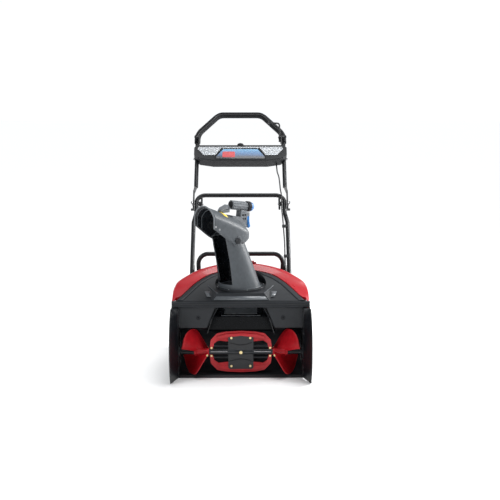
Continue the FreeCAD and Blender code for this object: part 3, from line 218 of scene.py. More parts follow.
MATS = {
    "housing_black": material("housing_black", (0.0065, 0.0085, 0.0115), 0.42, vary=0.15, bump=0.05,
                              wear=0.25, shine=0.24),
    "throat_black": material("throat_black", (0.006, 0.0075, 0.010), 0.24, vary=0.15, bump=0.015, shine=0.4),
    "plate_black": material("plate_black", (0.005, 0.006, 0.008), 0.34, vary=0.2, bump=0.03, wear=0.3,
                            shine=0.3),
    "shroud_red": material("shroud_red", (0.36, 0.0035, 0.010), 0.28, vary=0.05, scale=12, grain=1500,
                           bump=0.008, coat=0.2, shine=0.3),
    "paddle_red": material("paddle_red", (0.37, 0.0045, 0.010), 0.40, vary=0.12, bump=0.04, wear=0.4,
                           shine=0.28),
    "scraper": material("scraper", (0.009, 0.010, 0.012), 0.6, vary=0.3, bump=0.1, wear=0.4),
    "steel": material("steel", (0.50, 0.50, 0.51), 0.28, 1.0, vary=0.12, bump=0.02, streak=(1, 1, 8)),
    "bolt_gold": material("bolt_gold", (0.72, 0.58, 0.30), 0.3, 1.0, vary=0.15, bump=0.03),
    "chute_grey": material("chute_grey", (0.060, 0.069, 0.078), 0.42, vary=0.10, grain=1300, bump=0.05,
                           wear=0.3, shine=0.45),
    "grip_grey": material("grip_grey", (0.15, 0.162, 0.175), 0.55, vary=0.12, bump=0.07, shine=0.4),
    "accent_blue": material("accent_blue", (0.012, 0.16, 0.46), 0.35, vary=0.1, bump=0.03),
    "tyre": material("tyre", (0.008, 0.008, 0.0085), 0.75, vary=0.3, bump=0.14,
                     second=(0.015, 0.0145, 0.014)),
    "rim": material("rim", (0.018, 0.019, 0.022), 0.45, vary=0.15, bump=0.06, wear=0.3),
    "battery": material("battery", (0.05, 0.055, 0.065), 0.5, vary=0.12, bump=0.08),
    "electronics": material("electronics", (0.42, 0.43, 0.44), 0.45, 0.9, vary=0.1, bump=0.1),
    "tube_black": material("tube_black", (0.0045, 0.0055, 0.007), 0.30, vary=0.15, grain=700, bump=0.03,
                           shine=0.35),
    "foam": material("foam", (0.006, 0.007, 0.009), 0.60, vary=0.25, grain=1600, bump=0.14, shine=0.25),
    "console": material("console", (0.006, 0.007, 0.009), 0.48, vary=0.12, grain=1500, bump=0.06, wear=0.3,
                        shine=0.18),
    "lens": lens_material(),
    "reflector": material("reflector", (0.62, 0.64, 0.67), 0.3, 0.9, vary=0.1, bump=0.02),
    "label_blue": label_material(),
    "belt": material("belt", (0.012, 0.012, 0.012), 0.7, vary=0.2, bump=0.1),
    "cable": material("cable", (0.008, 0.008, 0.009), 0.45, vary=0.2, bump=0.05),
    "motor_can": material("motor_can", (0.05, 0.05, 0.056), 0.4, 0.6, vary=0.15, bump=0.05),
}
BADGE = material("badge_red", (0.50, 0.015, 0.025), 0.35, vary=0.08, bump=0.01, coat=0.2)
STICKER = material("sticker_yellow", (0.75, 0.56, 0.06), 0.4, vary=0.08, bump=0.01)
DARK_STEEL = material("dark_steel", (0.035, 0.038, 0.042), 0.3, 0.7, vary=0.15, bump=0.02)
STRIP = material("strip_grey", (0.10, 0.11, 0.12), 0.3, vary=0.1, bump=0.02, coat=0.2)

slot_of = {s["node"]: s["material_slot"] for s in frame["record"]["subparts"]}
own_look = {"rotor_shaft": DARK_STEEL, "rotor_bearings": DARK_STEEL, "chute_flange": MATS["housing_black"]}
for node, obj in NODES.items():
    obj.data.materials.clear()
    obj.data.materials.append(own_look.get(node, MATS[slot_of[node]]))


# ---------- mesh helpers ----------

def recalculate_normals(mesh, upright=False):
    """Turns faces outwards; with upright, an open surface is turned so that its highest face looks up."""
    work = bmesh.new()
    work.from_mesh(mesh)
    bmesh.ops.recalc_face_normals(work, faces=work.faces)
    if upright:
        highest = max(work.faces, key=lambda face: face.calc_center_median().z)
        if highest.normal.z < 0:
            bmesh.ops.reverse_faces(work, faces=work.faces)
    work.to_mesh(mesh)
    work.free()


def grid_faces(rows, across, start=0):
    """Faces between neighbouring rows of points."""
    faces = []
    for i in range(rows - 1):
        for j in range(across - 1):
            a = start + i * across + j
            faces.append([a, a + 1, a + across + 1, a + across])
    return faces


def stack_faces(rings, turns):
    """Faces round a stack of rings, with both ends closed."""
    faces = []
    for i in range(rings - 1):
        for k in range(turns):
            m = (k + 1) % turns
            faces.append([i * turns + k, i * turns + m, (i + 1) * turns + m, (i + 1) * turns + k])
    faces.append(list(range(turns))[::-1])
    faces.append([(rings - 1) * turns + k for k in range(turns)])
    return faces


def piece(name, verts, faces, slot_name, body, place=on_machine, smooth=True, mat=None):
    """A new piece from vertices in millimetres and faces."""
    mesh = bpy.data.meshes.new(name)
    mesh.from_pydata([tuple(place(*v)) for v in verts], [], faces)
    mesh.validate()
    obj = bpy.data.objects.new(name, mesh)
    bpy.context.scene.collection.objects.link(obj)
    recalculate_normals(mesh)
    mesh.materials.append(mat or MATS[slot_name])
    if smooth:
        mesh.shade_smooth()
    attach(obj, body)
    return obj


def bevel(obj, width_mm, segments=3, angle=35):
    """Rounds an object's sharp edges."""
    tool = obj.modifiers.new("edge", "BEVEL")
    tool.width = width_mm / 1000
    tool.segments = segments
    tool.limit_method = "ANGLE"
    tool.angle_limit = math.radians(angle)
    tool.harden_normals = True
    tool.use_clamp_overlap = True
    return obj


def thicken(obj, thick_mm, offset=-1):
    """Gives a surface its thickness: inwards at -1, outwards at 1, half each way at 0."""
    solid = obj.modifiers.new("thickness", "SOLIDIFY")
    solid.thickness = thick_mm / 1000
    solid.offset = offset
    return obj


def prism(name, outline, n0, n1, slot_name, body, place=on_handle, edge=1.0, mat=None):
    """An outline in the place's first two coordinates, between two levels of the third."""
    count = len(outline)
    verts = [(x, y, n0) for x, y in outline] + [(x, y, n1) for x, y in outline]
    faces = [list(range(count)), list(range(count, 2 * count))[::-1]]
    for i in range(count):
        j = (i + 1) % count
        faces.append([i, j, j + count, i + count])
    obj = piece(name, verts, faces, slot_name, body, place, mat=mat)
    return bevel(obj, edge) if edge else obj


def block(name, x0, x1, y0, y1, z0, z1, slot_name, body, place=on_machine, edge=1.0, mat=None):
    """A rounded block between limits."""
    outline = [(x0, y0), (x1, y0), (x1, y1), (x0, y1)]
    return prism(name, outline, z0, z1, slot_name, body, place, edge, mat)


def lathe(name, profile, centre, axis, slot_name, body, place=on_machine, turns=32, mat=None):
    """A turned piece: profile of (distance along the axis, radius), in millimetres."""
    axis = Vector(axis).normalized()
    side = axis.orthogonal().normalized()
    up = axis.cross(side)
    centre = Vector(centre)
    verts = []
    for along, radius in profile:
        for k in range(turns):
            a = 2 * math.pi * k / turns
            p = centre + axis * along + (side * math.cos(a) + up * math.sin(a)) * radius
            verts.append(tuple(p))
    obj = piece(name, verts, stack_faces(len(profile), turns), slot_name, body, place, mat=mat)
    return bevel(obj, 0.4, 2, 40)


def screw(name, centre, axis, radius, slot_name, body, place=on_machine, mat=None):
    """A domed screw head with a round recess in it."""
    shares = [(0, 1), (0.25, 1), (0.5, 0.8), (0.6, 0.52), (0.25, 0.46)]
    profile = [(radius * along, radius * out) for along, out in shares]
    return lathe(name, profile, centre, axis, slot_name, body, place, 24, mat)


def spline(points, count):
    """Points along a smooth curve through the given ones."""
    out = []
    pts = [Vector(p) for p in points]
    for i in range(len(pts) - 1):
        p0 = pts[i - 1] if i else pts[i] * 2 - pts[i + 1]
        p1, p2 = pts[i], pts[i + 1]
        p3 = pts[i + 2] if i + 2 < len(pts) else p2 * 2 - p1
        for k in range(count):
            t = k / count
            out.append(0.5 * (2 * p1 + (p2 - p0) * t + (2 * p0 - 5 * p1 + 4 * p2 - p3) * t * t
                              + (3 * p1 - p0 - 3 * p2 + p3) * t ** 3))
    out.append(pts[-1])
    return out


def tube(name, points, radius, slot_name, body, place=on_machine, mat=None, closed=False):
    """A round bar along points, as a smooth curve."""
    data = bpy.data.curves.new(name, "CURVE")
    data.dimensions = "3D"
    data.bevel_depth = radius / 1000
    data.bevel_resolution = 5
    data.resolution_u = 10
    data.use_fill_caps = True
    line = data.splines.new("NURBS")
    line.points.add(len(points) - 1)
    for point, p in zip(line.points, points):
        point.co = tuple(place(*p)) + (1,)
    line.order_u = 3
    line.use_endpoint_u = not closed
    line.use_cyclic_u = closed
    obj = bpy.data.objects.new(name, data)
    bpy.context.scene.collection.objects.link(obj)
    data.materials.append(mat or MATS[slot_name])
    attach(obj, body)
    return obj


def sheet_grid(name, rows, thick_mm, slot_name, body, place=on_machine, offset=-1, mat=None):
    """A smooth shell over rows of points, thickened inwards unless offset says otherwise."""
    across = len(rows[0])
    verts = [tuple(p) for row in rows for p in row]
    obj = piece(name, verts, grid_faces(len(rows), across), slot_name, body, place, mat=mat)
    return thicken(obj, thick_mm, offset)


def cutter(name, x0, x1, y0, y1, z0, z1):
    """A hidden block used to cut an opening."""
    mesh = bpy.data.meshes.new(name)
    corners = [on_machine(x, y, z) for z in (z0, z1) for y in (y0, y1) for x in (x0, x1)]
    mesh.from_pydata([tuple(c) for c in corners], [],
                     [(0, 1, 3, 2), (4, 6, 7, 5), (0, 4, 5, 1), (2, 3, 7, 6), (0, 2, 6, 4), (1, 5, 7, 3)])
    obj = bpy.data.objects.new(name, mesh)
    bpy.context.scene.collection.objects.link(obj)
    recalculate_normals(mesh)
    return obj


def cut(obj, tool):
    """Cuts a tool out of an object, applies the result and removes the tool."""
    boolean = obj.modifiers.new("opening", "BOOLEAN")
    boolean.operation = "DIFFERENCE"
    boolean.solver = "EXACT"
    boolean.object = tool
    bpy.context.view_layer.update()
    depsgraph = bpy.context.evaluated_depsgraph_get()
    result = bpy.data.meshes.new_from_object(obj.evaluated_get(depsgraph))
    obj.modifiers.clear()
    old = obj.data
    obj.data = result
    bpy.data.meshes.remove(old)
    bpy.data.objects.remove(tool)


# ---------- rounded edges on the frame's own pieces ----------

# Width of each rounded edge in millimetres
EDGES = {
    "side_plates": 1.2, "skids": 1.5, "side_covers": 3.0, "rotor_housing": 0.8, "discharge_throat": 1.0,
    "scraper_bar": 0.6, "hood": 1.2, "paddles": 1.6, "centre_plate": 1.0, "chute_body": 0.8,
    "chute_grip": 1.0, "deflector_trigger": 1.8, "grip_cap": 0.8, "chute_flange": 1.2, "chassis": 1.5,
    "right_tyre": 1.6, "left_tyre": 1.6, "right_rim": 1.0, "left_rim": 1.0, "battery_lid": 1.4,
    "battery_pack": 2.0, "leg_brackets": 1.2, "console_front": 2.4, "console_back": 2.4,
    "right_fold_knob": 2.0, "left_fold_knob": 2.0, "start_button": 1.2, "lid_hinge": 0.8,
    "hub_caps": 1.6, "controller_box": 1.0, "rotor_pulley": 0.5, "motor_pulley": 0.4,
    "idler_pulley": 0.4, "drive_motor": 1.0, "cable_clips": 1.2, "lever_brackets": 0.8,
    "deflector_pins": 1.6, "rotor_fasteners": 0.6, "handle_bolts": 1.0, "intake_lip": 0.8,
    "headlight_bowls": 0.8, "idler_arm": 0.8, "rotor_bearings": 0.6, "upper_handle": 0.8,
    "lower_handle": 0.5,
}
for node, width in EDGES.items():
    bevel(NODES[node], width, 2, 32)
    NODES[node].data.shade_smooth()


# ---------- red shroud ----------

LIP_Y, LIP_Z = 106.0, 318.0             # front edge of the hood
PEAK_Y, PEAK_Z = 332.0, 402.0           # rear edge of the hood
HOOD_SLOPE = (PEAK_Z - LIP_Z) / (PEAK_Y - LIP_Y)
SHROUD_FOOT_Z = 246.0                   # foot of the shroud's rear wall


def hood_z(y):
    """Height of the sloping hood's top face."""
    return LIP_Z + (y - LIP_Y) * HOOD_SLOPE


# Half rows of the shroud, from its right foot to the middle. The first follows the hood's edge: (x, y).
HOOD_EDGE = [(266, 106), (246, 140), (222, 182), (188, 238), (140, 292), (76, 322), (0, 332)]
RIM_TOP = [(284, 128, 302), (283, 176, 328), (278, 222, 346), (256, 262, 372), (174, 330, 404),
           (76, 362, 422), (0, 368, 424)]
SHOULDER = [(284, 300, 292), (282, 308, 318), (276, 316, 338), (254, 330, 362), (172, 378, 398),
            (76, 394, 417), (0, 396, 419)]
WAIST = [(198, 410, 262), (197, 412, 300), (194, 414, 330), (184, 416, 356), (146, 420, 386), (72, 424, 402),
         (0, 424, 404)]
TAIL = [(198, 520, 250), (197, 520, 282), (192, 520, 306), (176, 520, 328), (138, 520, 346), (72, 520, 355),
        (0, 520, 356)]


def whole_row(row):
    """A half row of the shroud with its mirror image, smooth from foot to foot."""
    left = [(-x, y, z) for x, y, z in reversed(row[:-1])]
    return spline(list(row) + left, 6)


def shroud():
    """Moulded red cover: a rim around the hood, the arched top and the narrow tail."""
    edge = []
    for x, y in HOOD_EDGE:
        out, back = (2, 22) if y == LIP_Y else (0.5, 3)
        edge.append((x + out, y + back, hood_z(y + back) + 0.5))
    rim_in = []
    for (x, y, z), (u, v, w) in zip(edge, RIM_TOP):
        rim_in.append((x + (u - x) * 0.72, y + (v - y) * 0.72, z + (w - z) * 0.86))
    lip = [(x, y, z - 14) for x, y, z in edge]
    bands = [lip, edge, rim_in, RIM_TOP, SHOULDER, WAIST, TAIL]
    grid = [whole_row(row) for row in bands]
    rows = []
    for k in range(len(grid[0])):
        column = [g[k] for g in grid]
        first = spline(column[1:4], 5)
        rest = spline(column[3:], 12)
        foot = column[-1]
        rear = [(foot[0] * 0.99, foot[1] + 0.6, foot[2] - 2.5),
                (foot[0] * 0.98, foot[1] + 1.0, min(foot[2] - 3, SHROUD_FOOT_Z))]
        rows.append([column[0]] + first[:-1] + rest + rear)
    shell = sheet_grid("shroud_shell", rows, 3.0, "shroud_red", "base")
    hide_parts("shroud")
    recalculate_normals(shell.data, upright=True)
    cut(shell, cutter("well_cut", -70, 70, 371, 455.5, 300, 480))
    shell.data.shade_smooth()
    bevel(shell, 0.9, 2, 40)


shroud()


# ---------- rotor flights ----------

BLADE_R = 92.5                          # widest reach of a flight
BLADE_ROOT = 12.0                       # where a flight leaves the shaft
BLADE_FROM, BLADE_SWEEP = -4, 158       # degrees about the rotor


def blade_point(side, phase, t, u):
    """A point of a flight: t runs from the paddles to its outer end, u from its root to its rim."""
    angle = math.radians(BLADE_FROM + BLADE_SWEEP * t + phase)
    grown = 0.45 + 0.55 * min(1.0, t / 0.4)
    rounded = 1.0 - 0.30 * max(0.0, (t - 0.80) / 0.20) ** 2
    r = BLADE_ROOT + (BLADE_R * grown * rounded - BLADE_ROOT) * u
    x_out = 133 + 106 * (0.42 * t + 0.58 * math.sin(t * math.pi / 2) ** 1.2)
    x_in = 140 + 50 * t
    x = x_in + (x_out - x_in) * (u ** 1.15)
    return (side * x, ROTOR_Y - r * math.cos(angle), ROTOR_Z - r * math.sin(angle))


def flights():
    """Both ends of the rotor: red leaf-shaped blades with a rolled rim, their hub and a dark sleeve."""
    steps, radial = 44, 8
    for side, word in SIDES:
        verts, faces, rims = [], [], []
        for phase in (0, 180):
            faces += grid_faces(steps + 1, radial + 1, len(verts))
            for i in range(steps + 1):
                verts += [blade_point(side, phase, i / steps, j / radial) for j in range(radial + 1)]
            rims.append([blade_point(side, phase, i / steps, 1) for i in range(steps + 1)])
        blades = piece("flight_blades_" + word, verts, faces, "paddle_red", "rotor")
        bevel(thicken(blades, 3.6, 0), 0.9, 2, 50)
        if side > 0:
            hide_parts("flights")
        for k, rim in enumerate(rims):
            tube("flight_rim_%s_%d" % (word, k), rim[::4], 2.4, "paddle_red", "rotor")
            tip = Vector(rim[2])
            screw("flight_screw_%s_%d" % (word, k), tip - Vector((0, 1 if k == 0 else -1, 0)), (0, -1, 0),
                  4.5, "bolt_gold", "rotor")
        hub = [(131.5, 14), (133, 15.5), (140, 15.5), (142, 14), (183, 14), (185, 17), (192, 17), (193.5, 15)]
        lathe("flight_hub_" + word, [(side * x, r) for x, r in hub], (0, ROTOR_Y, ROTOR_Z), (1, 0, 0),
              "paddle_red", "rotor")
        sleeve = [(193.6, 12.5), (206, 12.5), (207, 11), (240, 11), (241, 12.5), (249, 12.5)]
        lathe("shaft_sleeve_" + word, [(side * x, r) for x, r in sleeve], (0, ROTOR_Y, ROTOR_Z), (1, 0, 0),
              "plate_black", "rotor")


flights()


# ---------- deflector ----------

# Arches of the deflector, back to mouth: (y, half width, z of its feet, z of its spring line, z of its top)
DEFLECTOR_ROWS = [(10.5, 20, 578, 583, 592), (8, 46, 573, 586, 604), (-8, 61, 561, 592, 624),
                  (-44, 70, 548, 606, 646), (-100, 72, 558, 628, 672), (-186, 67, 620, 664, 706)]
CROWN = 0.72                            # share of an arch that is its curved crown
SHADE_SHEET_INSET = 3.5                       # from the deflector's outside to its black sheet of painted shade
RIB_INSET = 4.4                         # and to the ribs inside its mouth


def arch(row, turn):
    """A point of one arch of the deflector; turn runs from -1 at the left foot to 1 at the right foot."""
    y, half, low, spring, top = row
    rise = top - spring
    radius = (half * half + rise * rise) / (2 * rise)
    if abs(turn) > CROWN:
        z = spring - (spring - low) * (abs(turn) - CROWN) / (1 - CROWN)
        return (math.copysign(half, turn), y, z)
    reach = math.atan2(half, radius - rise) * turn / CROWN
    return (radius * math.sin(reach), y, top - radius + radius * math.cos(reach))


def deflector_levels(count):
    """The deflector's arches with smooth ones between them."""
    feet = spline([row[:3] for row in DEFLECTOR_ROWS], count)
    tops = spline([(row[0], row[3], row[4]) for row in DEFLECTOR_ROWS], count)
    return [(foot[0], foot[1], foot[2], top[1], top[2]) for foot, top in zip(feet, tops)]


def deflector():
    """Smooth hood with a rolled mouth, pivot bosses and a plain sticker on its crown; a black sheet inside it
    paints the shade of its hollow.
    """
    turns = [k / 20 for k in range(-20, 21)]
    levels = deflector_levels(8)
    shell = sheet_grid("deflector_shell", [[arch(row, t) for t in turns] for row in levels], 3.0,
                       "chute_grey", "deflector_hood", on_chute)
    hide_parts("deflector")
    # Painted shade: a black sheet just inside the hood, darker than its own shading
    shade_rows = [(y, half - SHADE_SHEET_INSET, low + 1.5, spring, top - SHADE_SHEET_INSET)
             for y, half, low, spring, top in levels if half > 24]
    sheet_grid("deflector_shade_sheet", [[arch(row, t) for t in turns] for row in shade_rows], 0.6, "throat_black",
               "deflector_hood", on_chute)
    mouth = [arch(levels[-1], t) for t in turns]
    # Painted highlight: the mouth's bead is a lighter grey than the hood, for the light it catches
    tube("deflector_mouth_highlight_bead", mouth, 2.6, "grip_grey", "deflector_hood", on_chute)
    for back, word in ((-170, "outer"), (-150, "inner")):
        row = min(levels, key=lambda v: abs(v[0] - back))
        inside = (row[0], row[1] - RIB_INSET, row[2] + 4, row[3], row[4] - RIB_INSET)
        tube("mouth_rib_" + word, [arch(inside, t * 0.96) for t in turns], 1.8, "chute_grey",
             "deflector_hood", on_chute)
    near = [row for row in levels if -124 < row[0] < -92]
    spots = [[arch(row, t) for t in (0.10, 0.16, 0.22, 0.28, 0.34, 0.40)] for row in near]
    sheet_grid("deflector_sticker", spots, 1.2, "chute_grey", "deflector_hood", on_chute, 1, STICKER)
    for side, word in SIDES:
        ring = [(67.5, 22), (71.5, 22), (72.1, 20), (72.1, 13.5), (69.5, 13), (67.5, 13)]
        lathe("pivot_boss_" + word, [(side * x, r) for x, r in ring], (0, PIVOT_Y, PIVOT_Z), (1, 0, 0),
              "chute_grey", "deflector_hood", on_chute)
        for k in range(8):
            a = math.pi * k / 4
            lathe("boss_stud_%s_%d" % (word, k), [(side * 71, 2), (side * 72.8, 1.6)],
                  (0, PIVOT_Y + 17.4 * math.cos(a), PIVOT_Z + 17.4 * math.sin(a)), (1, 0, 0), "console",
                  "deflector_hood", on_chute, 10)
        for turned in (0, 90):
            half_y, half_z = (8, 1.4) if turned == 0 else (1.4, 8)
            block("bolt_cross_%s_%d" % (word, turned), side * 77.4, side * 78.6,
                  PIVOT_Y - half_y, PIVOT_Y + half_y, PIVOT_Z - half_z, PIVOT_Z + half_z, "housing_black",
                  "chute", on_chute, 0.4)
        for y, z in ((-178, 628), (-160, 616)):
            screw("mouth_screw_%s_%d" % (word, -y), (side * 67.2, y, z), (side, 0, 0), 4.0, "steel",
                  "deflector_hood", on_chute)


deflector()


# ---------- chute, rotor and grip ----------

CHUTE_WALL = [(360, 8, 86.5), (457, 34, 75), (568, 71.5, 64.3)]     # z, lean towards the throw, radius
CHUTE_SHADE_SHEET_INSET = 3.6                 # from the chute's outside to its black sheet of painted shade
BEAD_R = 90.5                           # bead round the chute's foot
SCREW_CIRCLE = 100.5                    # screws on the chute's ring


def chute_details():
    """Black sheet of painted shade inside the channel, beads along its slot and round its base, and the
    ring's screws.
    """
    # Painted shade: a black sheet just inside the channel darkens it below its own shading
    wall = []
    for z, out, radius in spline(CHUTE_WALL, 6):
        turns = [math.radians(-40 + 260 * k / 40) for k in range(41)]
        inner = radius - CHUTE_SHADE_SHEET_INSET
        wall.append([(inner * math.cos(a), -out + inner * math.sin(a), z) for a in turns])
    sheet_grid("chute_shade_sheet", wall, 0.5, "throat_black", "chute", on_chute)
    for side, word in SIDES:
        edge = [(side * 48.6, -66 - 42 * (z - 380) / 194 - 6, z) for z in range(380, 560, 20)]
        tube("slot_bead_" + word, edge, 1.6, "chute_grey", "chute", on_chute)
    ring = []
    for k in range(49):
        a = math.radians(-60 + 300 * k / 48)
        ring.append((BEAD_R * math.cos(a), -6 + BEAD_R * math.sin(a), 357.4))
    tube("base_bead", ring, 2.0, "chute_grey", "chute", on_chute)
    for k in range(8):
        a = 2 * math.pi * (k + 0.5) / 8
        spot = (SCREW_CIRCLE * math.cos(a), SCREW_CIRCLE * math.sin(a), 355.6)
        screw("ring_screw_%d" % k, spot, (0, 0, 1), 2.6, "steel", "chute", on_chute)


chute_details()


def rotor_details():
    """Pressed curves on the centre plate, thin bright steel rods along the front of the shaft as its painted
    highlight, and the dark cross bars.
    """
    for up in (1, -1):
        curve = [(x, 105.0, ROTOR_Z + up * (40 - 10 * math.cos(x / 46 * math.pi / 2)))
                 for x in range(-46, 47, 4)]
        tube("plate_curve_" + ("top" if up > 0 else "foot"), curve, 1.5, "plate_black", "rotor")
    for side, word in SIDES:
        # Painted highlight: a thin bright steel rod on the front of the dark shaft
        tube("shaft_highlight_line_" + word, [(side * 55, 99.3, 105), (side * 90, 99.3, 105), (side * 124, 99.3, 105)],
             1.1, "steel", "rotor")
        for up in (1, -1):
            bar = [(side * x, 114, ROTOR_Z + up * rise) for x, rise in ((54, 24), (80, 25), (111, 24))]
            tube("cross_bar_%s_%d" % (word, up), bar, 5.5, "plate_black", "rotor")


rotor_details()


def grip_details():
    """Thumb lever in front of the grip, dark bands on its ends, a blue trigger pad and marks on its stalk."""
    lever = [(-112, 681), (-104, 693), (-74, 705), (-66, 699), (-70, 692), (-100, 679), (-108, 676)]
    verts = [(x, y, z) for x in (-12, 12) for y, z in lever]
    n = len(lever)
    faces = [list(range(n)), list(range(n, 2 * n))[::-1]]
    faces += [[i, (i + 1) % n, (i + 1) % n + n, i + n] for i in range(n)]
    bevel(piece("thumb_lever", verts, faces, "grip_grey", "deflector_hood", on_chute), 2.5)
    droop = math.radians(9)
    axis = (0, math.cos(droop), -math.sin(droop))
    front = (0, -52, 702)
    lathe("grip_band", [(81, 21.4), (83, 22), (97, 22), (99, 21.4)], front, axis, "console",
          "deflector_hood", on_chute)
    lathe("grip_nose", [(-4, 9), (-3, 13), (0.5, 16), (3, 17.5)], front, axis, "console",
          "deflector_hood", on_chute)
    block("trigger_pad", -8.4, 8.4, 37, 41, 612, 652, "accent_blue", "trigger", on_chute, 1.5)
    for i in range(4):
        y, z = i % 2 * 12, 640 + i // 2 * 16
        block("stalk_mark_%d" % i, 16.6, 18.0, y - 4, y + 4, z - 4, z + 4, "console", "deflector_hood",
              on_chute, 0.5)


grip_details()


# ---------- hood ----------

SEAT_R = 107.4                          # round wall behind the chute's ring
SEAT_FOOT_Z = 344.0                     # its lower edge


def hood_band():
    """Raised border along the hood's edge, and the round wall behind the chute's ring."""
    loop = spline([(x - 4, y - 3 if y > 110 else y + 1, 0) for x, y in HOOD_EDGE], 5)
    for side, word in SIDES:
        rows = []
        for p in loop:
            drawn = []
            for inwards, up in ((0, 0.2), (1, 2.6), (16, 3.0), (19, 1.6), (20, 0.2)):
                x, y = max(p.x - inwards * 0.82, 0), max(p.y - inwards * 0.62, 108)
                away = max(1.0, (109.5 + 0.1 * (20 - inwards)) / math.hypot(x, y - RING_Y))
                x, y = x * away, RING_Y + (y - RING_Y) * away
                drawn.append((side * x, y, hood_z(y) + up))
            rows.append(drawn)
        sheet_grid("hood_border_" + word, rows, 1.6, "housing_black", "base")
    wall = []
    for k in range(73):
        a = math.radians(-20 + 220 * k / 72)
        x, y = SEAT_R * math.cos(a), RING_Y + SEAT_R * math.sin(a)
        top = max(350.5, min(hood_z(y) - 0.5, 398))
        wall.append([(x, y, SEAT_FOOT_Z + (top - SEAT_FOOT_Z) * j / 3) for j in range(4)])
    sheet_grid("seat_wall", wall, 1.6, "housing_black", "base", offset=1)


hood_band()


BOSS_R = 109.0                          # where the shoulder meets the chute's seat
STRIP_SLOPE = 27.0 / 13.0               # rise over run of the shoulder's front face


def hood_boss():
    """Six-sided shoulder round the front of the chute's seat, with a blank strip on its face."""
    foot = [(-136, 214), (-118, 109), (118, 109), (136, 214)]
    brow = [(-120, 186), (-96, 122), (96, 122), (120, 186)]
    verts = [(x, y, hood_z(y) + 0.2) for x, y in foot] + [(x, y, 346.5 if y < 150 else 349) for x, y in brow]
    faces = [[0, 1, 5, 4], [1, 2, 6, 5], [2, 3, 7, 6]]
    start = len(verts)
    steps, per_corner = 24, 6
    for k in range(steps + 1):
        a = math.radians(206 + 128 * k / steps)
        verts.append((BOSS_R * math.cos(a), RING_Y + BOSS_R * math.sin(a), 348.6))
    for k in range(steps):
        corner = 4 + k // per_corner
        faces.append([start + k, start + k + 1, corner])
        if k % per_corner == per_corner - 1 and k < steps - 1:
            faces.append([start + k + 1, corner + 1, corner])
    boss = piece("hood_boss", verts, faces, "housing_black", "base", smooth=False)
    thicken(boss, 1.6)
    strip = [(-112, 109.8), (112, 109.8), (100, 116.4), (-100, 116.4)]
    verts = [(x, y - 0.8, hood_z(109) + (y - 109) * STRIP_SLOPE + 0.8) for x, y in strip]
    plate = piece("blank_strip", verts, [[0, 1, 2, 3]], "housing_black", "base", mat=STRIP)
    thicken(plate, 1.2)
    for side, word in SIDES:
        edge = [(side * 96, 121.5, 347.5), (side * 121, 186, 350), (side * 137, 214, 359)]
        tube("shoulder_edge_" + word, edge, 1.6, "chute_grey", "base")
        verts = [(side * 128, 170, 343), (side * 124, 128, 328), (side * 140, 132, 329.5),
                 (side * 150, 168, 342.5)]
        flap = piece("shoulder_flap_" + word, [(x, y, z + 1.0) for x, y, z in verts], [[0, 1, 2, 3]],
                     "housing_black", "base", mat=STRIP)
        thicken(flap, 1.5)


hood_boss()


THROAT_SLOPE = 0.835                    # run over rise of the throat's rear wall


def intake_details():
    """Dimples, edges and seals on the flat panels, screws on the plates, and in the throat a lighter band of
    painted reflection over a ledge in lighter grey as its painted highlight.
    """
    for side, word in SIDES:
        lathe("panel_dimple_" + word, [(-1.2, 9), (0.3, 9), (0.8, 7.5), (0.2, 6.4), (-0.8, 6.0)],
              (side * 174, 109.6, 246), (0, -1, 0), "housing_black", "base")
        screw("dimple_screw_" + word, (side * 174, 109.8, 246), (0, -1, 0), 4.2, "console", "base")
        tube("wing_rib_" + word, [(side * 252, 20, 60), (side * 252.5, 60, 66), (side * 253, 98, 70)], 1.5,
             "plate_black", "base")
        for y, z in ((30, 40), (30, 200), (96, 276)):
            screw("plate_screw_%s_%d_%d" % (word, y, z), (side * 254.2, y, z), (-side, 0, 0), 5,
                  "plate_black", "base")
    # Painted reflection: a lighter grey band on the throat's rear wall; the ledge below is lighter grey as
    # painted highlight
    rows = []
    for z in (231, 234, 262, 280):
        rows.append([(x, 226 + (z - 220) * THROAT_SLOPE, z) for x in (-70, -66, 0, 66, 70)])
    sheet_grid("throat_reflection_band", rows, 1.0, "throat_black", "base", mat=STRIP)
    tube("throat_ledge", [(-84, 226, 226), (0, 226, 226), (84, 226, 226)], 2.4, "throat_black", "base",
         mat=STRIP)
    for side, word in SIDES:
        edge = [(side * (93.5 + 47 * k / 6), 110.5, 288 - 84 * k / 6) for k in range(7)]
        tube("panel_edge_" + word, edge, 1.6, "housing_black", "base")
    block("lip_line", -270, 270, 97.2, 98.6, 303, 305.5, "plate_black", "base", on_machine, 0.5)
    for side, word in SIDES:
        block("panel_seal_" + word, side * 94, side * 253, 110.2, 112.8, 286, 291.5, "housing_black", "base",
              on_machine, 0)


intake_details()


# ---------- console ----------

